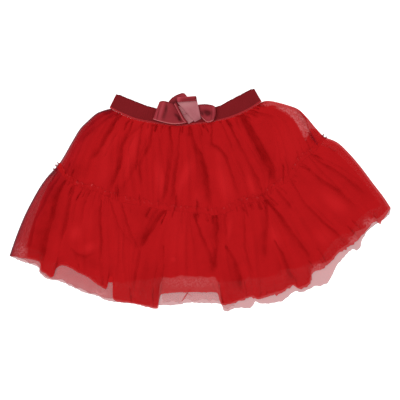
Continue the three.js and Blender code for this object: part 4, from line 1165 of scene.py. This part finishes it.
lining_front = lining_piece("lining_front_cloth", LINING_FRONT_BASE + LINING_WALL / 2, 41)
dress(lining_front, lining_cloth, "lining", "lining_front")
lining_back = lining_piece("lining_back_cloth", LINING_BACK_BASE + LINING_WALL / 2, 42)
dress(lining_back, lining_cloth, "lining", "lining_back")


# The elastic waistband
BAND_STEPS = 260  # points along its front and along its back
BAND_FOLD_STEPS = 12  # points round each end, where the front turns into the back
RIB_DEPTH = 0.16
PUCKER_DEPTH = 0.12
CORNER_CUT, CORNER_REACH = 1.3, 2.5  # how the ends of its upper edge are rounded off
EDGE_ROLL, EDGE_REACH = 0.7, 0.5  # how its edges are rounded off


def shell_between(name, outer, inner, closed=False):
    """A closed body between two grids of points, rows by columns, with walls round their rims.
    The columns may run on into the first one."""
    rows, columns = outer.shape[:2]
    count = rows * columns
    faces = grid_faces(rows, columns, 0, False, closed)
    faces += grid_faces(rows, columns, count, True, closed)
    rim = [(0, column) for column in range(columns)]
    foot = [(rows - 1, column) for column in range(columns)]
    loops = [rim + ([rim[0]] if closed else []), (foot + ([foot[0]] if closed else []))[::-1]]
    if not closed:
        right = [(row, columns - 1) for row in range(1, rows)]
        left = [(row, 0) for row in range(rows - 2, -1, -1)]
        loops = [rim + right + foot[::-1][1:] + left]
    for loop in loops:
        for (r0, c0), (r1, c1) in zip(loop[:-1], loop[1:]):
            a, b = r0 * columns + c0, r1 * columns + c1
            faces.append((b + count, a + count, a, b)[::-1])
    return make_object(name, np.concatenate([outer.reshape(-1, 3), inner.reshape(-1, 3)]), faces)


def on_both(values):
    """Values for the outer points of such a body, and the same again for its inner ones."""
    return np.tile(values.ravel(), 2)


def band():
    """One loop, flattened, its front over its back, with ribs along it and rounded edges."""
    half, middle = ELASTIC_WALL / 2, BAND_TOP_Z / 2
    reach = middle - half
    run = np.linspace(0, 1, BAND_STEPS)
    turn = np.linspace(0, np.pi, BAND_FOLD_STEPS + 2)[1:-1]
    shares = np.concatenate([run, np.ones(BAND_FOLD_STEPS), run[::-1], np.zeros(BAND_FOLD_STEPS)])
    up, down = np.full(BAND_STEPS, np.pi / 2), np.full(BAND_STEPS, -np.pi / 2)
    angles = np.concatenate([up, np.pi / 2 - turn, down, -np.pi / 2 - turn])
    across = np.linspace(0, 1, 4 * BAND_RIBS + 1)[:, None]
    ahead = band_lower.place(np.minimum(1, shares + 0.01)) - band_lower.place(shares - 0.01)
    along = ahead / np.linalg.norm(ahead, axis=1, keepdims=True)
    low, high = band_lower.place(shares), band_upper.place(shares)
    rising = (high - low) / np.linalg.norm(high - low, axis=1, keepdims=True)
    wave = 0.5 * np.sin(shares * 61) + 0.35 * np.sin(shares * 143 + 1)
    to_end = np.minimum(shares, 1 - shares) * band_upper.length
    cut = np.abs(wave) * 0.5 + CORNER_CUT * np.exp(-((to_end / CORNER_REACH) ** 2))
    high = high - cut[:, None] * rising
    place = low * (1 - across[..., None]) + high * across[..., None]
    ribs = RIB_DEPTH * np.cos(across * BAND_RIBS * 2 * np.pi) - RIB_DEPTH
    puckers = PUCKER_DEPTH * np.sin(shares * 400) * np.sin(np.pi * across)
    to_edge = np.minimum(across, 1 - across) * BAND_WIDTH
    outside = reach + half + ribs + puckers - EDGE_ROLL * np.exp(-to_edge / EDGE_REACH)
    walls = []
    for far in (outside, np.full(outside.shape, reach - half)):
        flat = place + far[..., None] * np.cos(angles)[:, None] * along
        walls.append(lifted(flat, middle + far * np.sin(angles)))
    piece = shell_between("waistband_elastic", *walls, closed=True)
    set_values(piece, across=on_both(np.broadcast_to(across, place.shape[:2])))
    return piece


# The velvet bow, the same sections as in the construction: one edge, the middle and the other
# edge of the ribbon, each x, y, z
BOW_LOOP_LEFT = [
    (-26, 127, 5.7, -33, 140, 5.5, -41, 152, 5.5),
    (-46, 124.5, 5.5, -48, 140, 5.4, -50, 155, 5.5),
    (-66, 128.5, 5.8, -63, 143, 5.8, -60, 158, 6),
    (-76.2, 131, 8.2, -71.5, 145.5, 8.6, -66, 159.6, 8.6),
    (-70, 128.6, 11.6, -66, 144.5, 12.6, -60, 160.8, 12.6),
    (-48, 123.4, 13, -49, 141, 14.6, -50, 158.4, 15),
    (-34, 123.2, 12.4, -38, 139, 12, -43, 156, 14.6),
    (-24, 125, 10.4, -31, 138, 8.8, -39.5, 152, 12.6),
]
BOW_LOOP_TOP = [
    (-50, 150, 6.8, -51, 154, 6.9, -53, 158, 7.2),
    (-40, 150, 7.4, -43, 158, 7.8, -45.5, 166.5, 7.6),
    (-31, 153, 8, -33, 162, 9.2, -34.5, 172.3, 8.6),
    (-22, 155, 8, -24, 164, 9.6, -26.5, 173.8, 8.8),
    (-18.5, 155, 6.8, -19.5, 162, 7.4, -22, 169.5, 7.2),
]
BOW_FOLD_CENTRE = [
    (-36.5, 158.5, 17.2, -21, 159.6, 17, -5.4, 160.8, 16.2),
    (-37.5, 161.5, 18.4, -21, 163.5, 18, -5.6, 164.5, 17.2),
    (-37.3, 165, 17, -21, 167, 16.6, -5.9, 168, 16),
    (-36.8, 163.5, 15, -21, 165.5, 14.8, -5.6, 166.6, 14.2),
    (-36.5, 157.5, 14.8, -20.5, 159, 14.6, -4.6, 160, 14),
    (-27.6, 148, 14.4, -13, 148, 13.8, -2, 149, 13.2),
    (-17, 136, 9.8, -8, 136, 9.6, 0.6, 136.5, 9.2),
    (-8.6, 126.8, 5.6, -4.5, 129, 5.5, 1.4, 132.2, 5.6),
]
BOW_TAIL_NARROW = [
    (-35.8, 152.5, 12.8, -31, 152, 12.6, -26, 151.5, 12.4),
    (-33, 144.5, 11.2, -27, 144.5, 10.6, -21, 144, 10),
    (-27, 135, 8, -21.5, 137.5, 7.4, -16, 138, 6.8),
    (-18.4, 123.8, 5.5, -14.5, 126.3, 5.5, -10.8, 128.4, 5.5),
]
BOW_CREASE = [
    (-42, 155.5, 16.4, -40.5, 156.7, 17.2, -38.9, 157.6, 17.2),
    (-37.5, 147, 15, -36, 148, 15.8, -34, 149, 15.8),
    (-33.5, 139.5, 13.4, -31.8, 140.3, 14.1, -29.8, 141, 14),
    (-28.5, 130.5, 12.8, -27, 131.5, 13.3, -25, 132.5, 13),
    (-23.5, 124.6, 11.9, -21.6, 125.4, 12.2, -19.5, 126.2, 11.8),
]
BOW_LOOP_RIGHT = [
    (2, 138, 5.6, -4, 146, 5.5, -5, 152, 5.5),
    (10, 130, 5.5, 12, 142, 5.5, 12, 153, 5.5),
    (19, 129.5, 5.8, 21, 141, 6, 21.5, 152, 6),
    (22.6, 131, 8.6, 25.6, 141, 9.2, 24.6, 151, 9),
    (19, 127.6, 12, 21, 141, 12.4, 20.6, 153.6, 12.2),
    (12.5, 126, 13.2, 9.5, 140, 9.4, 9.2, 155.4, 13.4),
    (3.6, 133.4, 10.6, -1, 142, 7.8, -3.5, 154.6, 10.6),
]


def curve_through(points, steps):
    """A centripetal curve through points, with as many steps from each point to the next."""
    points = np.array(points, float)
    points = np.concatenate([[2 * points[0] - points[1]], points, [2 * points[-1] - points[-2]]])
    gaps = np.maximum(np.linalg.norm(np.diff(points, axis=0), axis=1) ** 0.5, 1e-4)
    last = len(points) - 3
    at = np.linspace(0, last, steps)
    i = np.minimum(at.astype(int), last - 1)
    t = (at - i)[:, None]
    d0, d1, d2 = (gaps[i + k][:, None] for k in range(3))
    p0, p1, p2, p3 = (points[i + k] for k in range(4))
    m1 = ((p1 - p0) / d0 - (p2 - p0) / (d0 + d1) + (p2 - p1) / d1) * d1
    m2 = ((p2 - p1) / d1 - (p3 - p1) / (d1 + d2) + (p3 - p2) / d2) * d1
    return p1 + m1 * t + (3 * (p2 - p1) - 2 * m1 - m2) * t**2 + (2 * (p1 - p2) + m1 + m2) * t**3


RIBBON_SHARE = 0.8  # the visible ribbon's thickness, as a share of the construction's


def ribbon_piece(name, sections, steps, velvet_side, selvedge, dents, columns=22):
    """A stretch of ribbon through its sections: velvet on one side (1 is the side that along
    crossed with across points to), the pale reverse on the other. Dents are soft troughs with
    painted shade and painted highlights on them: share along, share across, half sizes of each,
    depth, and tone from -1, painted shade, to 1, painted highlight. The selvedge is how pale each edge
    is."""
    table = np.array(sections, float)
    first, middle, other = (curve_through(table[:, k : k + 3], steps) for k in (0, 3, 6))
    v = np.linspace(0, 1, columns)[None, :, None]
    grid = first[:, None] * (1 - v) * (1 - 2 * v) + middle[:, None] * 4 * v * (1 - v)
    grid = grid + other[:, None] * v * (2 * v - 1)
    normal = np.cross(np.gradient(grid, axis=0), np.gradient(grid, axis=1))
    normal = normal / np.linalg.norm(normal, axis=-1, keepdims=True)
    u, v = np.linspace(0, 1, steps)[:, None], v[..., 0]
    offset = 0.12 * np.sin(u * 31 + v * 5) * np.sin(v * 9 + 1)
    tone = np.zeros(offset.shape)
    for at_u, at_v, half_u, half_v, deep, shift in dents:
        spot = np.exp(-(((u - at_u) / half_u) ** 2) - ((v - at_v) / half_v) ** 2)
        offset = offset - deep * spot
        tone = tone + shift * spot
    grid = grid + offset[..., None] * normal * velvet_side
    half_wall = normal * RIBBON_WALL * RIBBON_SHARE / 2
    piece = shell_between(name, grid + half_wall, grid - half_wall)
    wide = np.linalg.norm(other - first, axis=1)[:, None]
    from_edges = (v * wide, (1 - v) * wide)
    rim = sum(shown * (1 - smooth(0.4, 1.6, away)) for shown, away in zip(selvedge, from_edges))
    # Painted shade where the tone is below 0, painted highlights where it is above
    darker, paler = np.clip(-tone, 0, 1), np.clip(tone, 0, 1)
    set_values(piece, rim=on_both(rim), darker=on_both(darker), paler=on_both(paler))
    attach(piece, "root")
    piece.data.materials.append(velvet_cloth)
    piece.data.materials.append(reverse_cloth)
    count = (steps - 1) * (columns - 1)
    outer_side = 0 if velvet_side > 0 else 1
    sides = [outer_side] * count + [1 - outer_side] * count
    sides += [1] * (len(piece.data.polygons) - 2 * count)
    piece.data.polygons.foreach_set("material_index", sides)
    return piece


# The bow's pieces: name, sections, points along, the velvet's side, slot, flat size, how pale
# each selvedge is, and the dents with their painted shade and highlights
BOW = [
    ("loop_left", BOW_LOOP_LEFT, 110, 1, "velvet", (0.085, 0.025), (0.9, 0), [
        (0.60, 0.55, 0.022, 0.6, -0.3, 0.6), (0.52, 0.2, 0.02, 0.3, -0.3, 0.5),
        (0.558, 0.3, 0.012, 0.3, 0.5, -0.7), (0.66, 0.65, 0.02, 0.25, 0.9, -1.0),
        (0.64, 0.3, 0.02, 0.2, 0.5, -0.7), (0.91, 0.3, 0.05, 0.17, 2.4, -1.3),
        (0.84, 0.45, 0.04, 0.09, 0.8, -0.9), (0.9, 0.95, 0.08, 0.1, 0.3, -0.7),
        (0.7, 0.99, 0.2, 0.05, 0, -0.6), (0.9, 0.03, 0.1, 0.06, 0, 0.4),
    ]),
    ("loop_top", BOW_LOOP_TOP, 50, 1, "velvet", (0.034, 0.019), (0, 0), [
        (0.4, 0.35, 0.14, 0.3, 0.9, -1.0), (0.1, 0.4, 0.2, 0.4, 0.3, -0.8),
        (0.75, 0.75, 0.2, 0.25, 0, 0.35), (0.5, 1, 0.5, 0.08, 0, -0.6),
    ]),
    ("fold_centre", BOW_FOLD_CENTRE, 120, -1, "ribbon_reverse", (0.06, 0.026), (0, 0), [
        (0.78, 0.15, 0.2, 0.1, -0.6, 0.15), (0.62, 0.3, 0.06, 0.5, 0, 0.6),
        (0.14, 0.06, 0.2, 0.12, -0.5, 1.0), (0.3, 0.08, 0.1, 0.1, -0.3, 0.8),
        (0.12, 0.6, 0.08, 0.4, 0.2, -0.5), (0.24, 0.6, 0.09, 0.4, 0, 0.25),
        (0.97, 0.6, 0.04, 0.5, 0, -0.3), (0.2, 0.97, 0.2, 0.08, 0, -0.8),
    ]),
    ("tail_narrow", BOW_TAIL_NARROW, 40, -1, "ribbon_reverse", (0.034, 0.010), (0.3, 0), [
        (0.5, 0.8, 0.05, 0.4, 1.0, -1.2), (0.42, 0.4, 0.04, 0.3, -0.8, 0.4),
        (0.58, 0.4, 0.03, 0.3, 0.6, -0.8), (0.5, 0.5, 3, 3, 0, 0.45),
    ]),
    ("crease", BOW_CREASE, 50, 1, "velvet", (0.038, 0.005), (0.35, 0), [
        (0.5, 0.15, 0.6, 0.25, 0, 0.5), (0.5, 0.9, 0.6, 0.25, 0, -1.2),
    ]),
    ("loop_right", BOW_LOOP_RIGHT, 100, -1, "velvet", (0.07, 0.023), (0.9, 0), [
        (0.78, 0.5, 0.07, 0.13, 2.4, -1.2), (0.84, 0.6, 0.07, 0.1, 1.4, -0.7),
        (0.64, 0.8, 0.06, 0.3, -0.3, 0.7), (0.62, 0.2, 0.05, 0.3, -0.2, 0.5),
        (0.69, 0.45, 0.025, 0.4, 0.6, -0.5), (0.92, 0.9, 0.1, 0.15, 0, 0.3),
        (0.93, 0.45, 0.04, 0.15, 0.7, -1.0), (0.8, 0.98, 0.3, 0.06, 0, -0.5),
        (0.8, 0.25, 0.06, 0.1, -0.3, 0.3),
    ]),
]


# The frill that stands up on the outside of the tier seam
SEAM_ALLOWANCE = 2.0  # how far the frill is stitched down below the seam
SWAY_X, SWAY_Y, SWAY_Z = 1.6, 1.2, 1.1  # how far its free edge waves
TIP_HEIGHT, TIP_RISE = 3.2, 1.2
# How plainly the frill stands up along the seam, from the left side to the right: share, strength
FRILL_SHOWS = [
    (0, 1), (0.05, 0.6), (0.09, 1), (0.15, 0.8), (0.2, 0.9), (0.25, 0.3), (0.33, 0.45), (0.4, 0.25),
    (0.46, 0.5), (0.52, 0.25), (0.57, 0.8), (0.63, 0.9), (0.68, 0.6), (0.73, 0.9), (0.79, 0.35),
    (0.86, 0.6), (0.92, 0.4), (0.97, 0.7), (1, 1),
]
# Raw points of the frill that stand out past the sides: foot x, y, tip x, y, half width
FRILL_TIPS = [
    (-228, 55, -235, 61, 3.4), (-230, 52, -238.5, 57, 3.6), (-233, 48, -242, 50, 3.8),
    (200, 101, 204, 108, 3), (203, 98, 209, 103, 3),
]


def frill(name, width, pitch, flare, lift, seed, tips=()):
    """Raw gathered edges: a strip on the upper tier's last rows, waved at its free edge, and tips
    past its ends."""
    random = np.random.default_rng(seed)
    rows, columns = 7, 1300

    def loose(knots, low, high):
        return np.interp(across, np.linspace(0, 1, knots), random.uniform(low, high, knots))

    free = np.linspace(0, 1, rows)[:, None]
    across = np.linspace(0, 1, columns)[None, :]
    shows = column_of(FRILL_SHOWS, 1, across) * loose(60, 0.4, 1.1)
    down = 1 - free * loose(110, 0.45, 1.25) * width / UPPER_TIER_LENGTH
    wide = np.broadcast_to(across, down.shape)
    grid, depth = upper_sheet.points(upper_sheet.column_at(wide, down), down)
    below = np.full(across.shape, SEAM_ALLOWANCE / RUFFLE_TIER_LENGTH)
    foot, _ = ruffle_sheet.points(ruffle_sheet.column_at(across, below), below)
    grid[0] = foot[0]
    phase = across * upper_sheet.width * 2 * np.pi / pitch + loose(60, -4, 4)
    size = shows * loose(70, 0.3, 1.2)
    grid[..., 0] += SWAY_X * size * np.cos(phase) * free
    grid[..., 1] += SWAY_Y * size * np.sin(1.7 * phase) * free
    grid[..., 2] += lift + free * (flare * shows + SWAY_Z * size * np.sin(phase))
    # Painted highlights on the loops of the free edge and painted shade in the gaps between them; the
    # tier's painted shade and highlights carry on into the frill
    loops = np.clip(2.2 * np.sin(phase) * loose(90, -0.6, 1.0) - 0.25, 0, 1)
    between = np.clip(0.35 - 0.9 * np.sin(phase) * loose(60, 0, 1.0), 0, 1)
    tone = upper_sheet.swell(grid[..., :2])
    pale = 0.5 * np.clip(shows * loops * smooth(0.4, 0.8, free), 0, 1)
    light = 0.8 * np.clip(tone, 0, 1) + 0.25 * shows * loops
    dark = np.clip(depth - 0.6 * tone + 0.75 * shows * between * (1 - 0.6 * free), 0, 1)
    points, faces = strips(
        tips, 7, 5,
        lambda t, x0: (1 - 0.8 * t) * (1 + 0.3 * np.sin(9 * t + x0)),
        lambda t, side: TIP_HEIGHT + TIP_RISE * np.sin(3 * t) - 0.6 * side**2,
        rows * columns,
    )
    points = grid.reshape(-1, 3).tolist() + points
    piece = make_object(name, points, grid_faces(rows, columns) + faces)

    def with_tips(values, at_tips):
        return np.append(values, np.full(len(points) - rows * columns, at_tips))

    set_values(
        piece, pale=with_tips(pale, 0), light=with_tips(light, 0), depth=with_tips(dark, 0.6),
        shade=with_tips(np.zeros(rows * columns), 0.7),
    )
    return piece


# The band, the bow and the frill put on, and what each sheet is cut from and lies on
band_piece = band()
dress(band_piece, elastic_cloth, "elastic", "waistband")
for part, sections, steps, velvet_side, slot, _, selvedge, dents in BOW:
    name = "bow_" + part + "_ribbon"
    ribbon_piece(name, sections, steps, velvet_side, selvedge, dents)
    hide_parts("bow_" + part)

frill_ruffle = frill("seam_frill_ruffle", FRILL_WIDTH, 7.5, 0.9, 0.3, 21, FRILL_TIPS)
dress(frill_ruffle, net_front, "tulle", "seam_frill")
frill_upper = frill("seam_frill_upper", 0.75 * FRILL_WIDTH, 11.0, 0.5, 0.2, 22)
dress(frill_upper, net_front, "tulle")


# Floor, light and camera
FLOOR_SIZE = 8
FLOOR_HEIGHT = -0.0004  # a little below the skirt


def stage():
    white = Material("white_floor", 1.0, 0.0)
    white.shade({"Base Color": (0.85, 0.85, 0.85, 1)})
    white.shade({"Emission Color": (1, 1, 1, 1), "Emission Strength": 0.75})
    bpy.ops.mesh.primitive_plane_add(size=FLOOR_SIZE, location=(0, 0, FLOOR_HEIGHT))
    floor = bpy.context.active_object
    floor.name = "floor"
    floor.data.materials.append(white.material)


def lights():
    scene = bpy.context.scene
    world = bpy.data.worlds.new("studio")
    scene.world = world
    world.use_nodes = True
    background = world.node_tree.nodes["Background"]
    background.inputs["Color"].default_value = (1, 1, 1, 1)
    background.inputs["Strength"].default_value = 0.75
    sun = bpy.data.lights.new("window", "SUN")
    sun.energy = 1.08
    sun.angle = math.radians(45)
    lamp = bpy.data.objects.new("window", sun)
    lamp.rotation_euler = (math.radians(-15), math.radians(-30), 0)
    scene.collection.objects.link(lamp)


PHOTO_WIDTH = 656.0  # the ground that the photograph's 400 pixels cover
PHOTO_MIDDLE = (0.1, -1.2)  # the place under the photograph's middle
SCALE_HEIGHT = 5.0  # the height at which the photograph's scale holds
LENS = 100.0
SENSOR = 36.0


def camera():
    data = bpy.data.cameras.new("camera")
    data.lens = LENS
    data.sensor_width = SENSOR
    piece = bpy.data.objects.new("camera", data)
    across, up = (SHIFT + PHOTO_MIDDLE) * MM
    piece.location = (across, up, (PHOTO_WIDTH * LENS / SENSOR + SCALE_HEIGHT) * MM)
    bpy.context.scene.collection.objects.link(piece)
    bpy.context.scene.camera = piece


stage()
lights()
camera()
bpy.context.scene.view_settings.view_transform = "Standard"
bpy.context.scene.cycles.transparent_max_bounces = 32
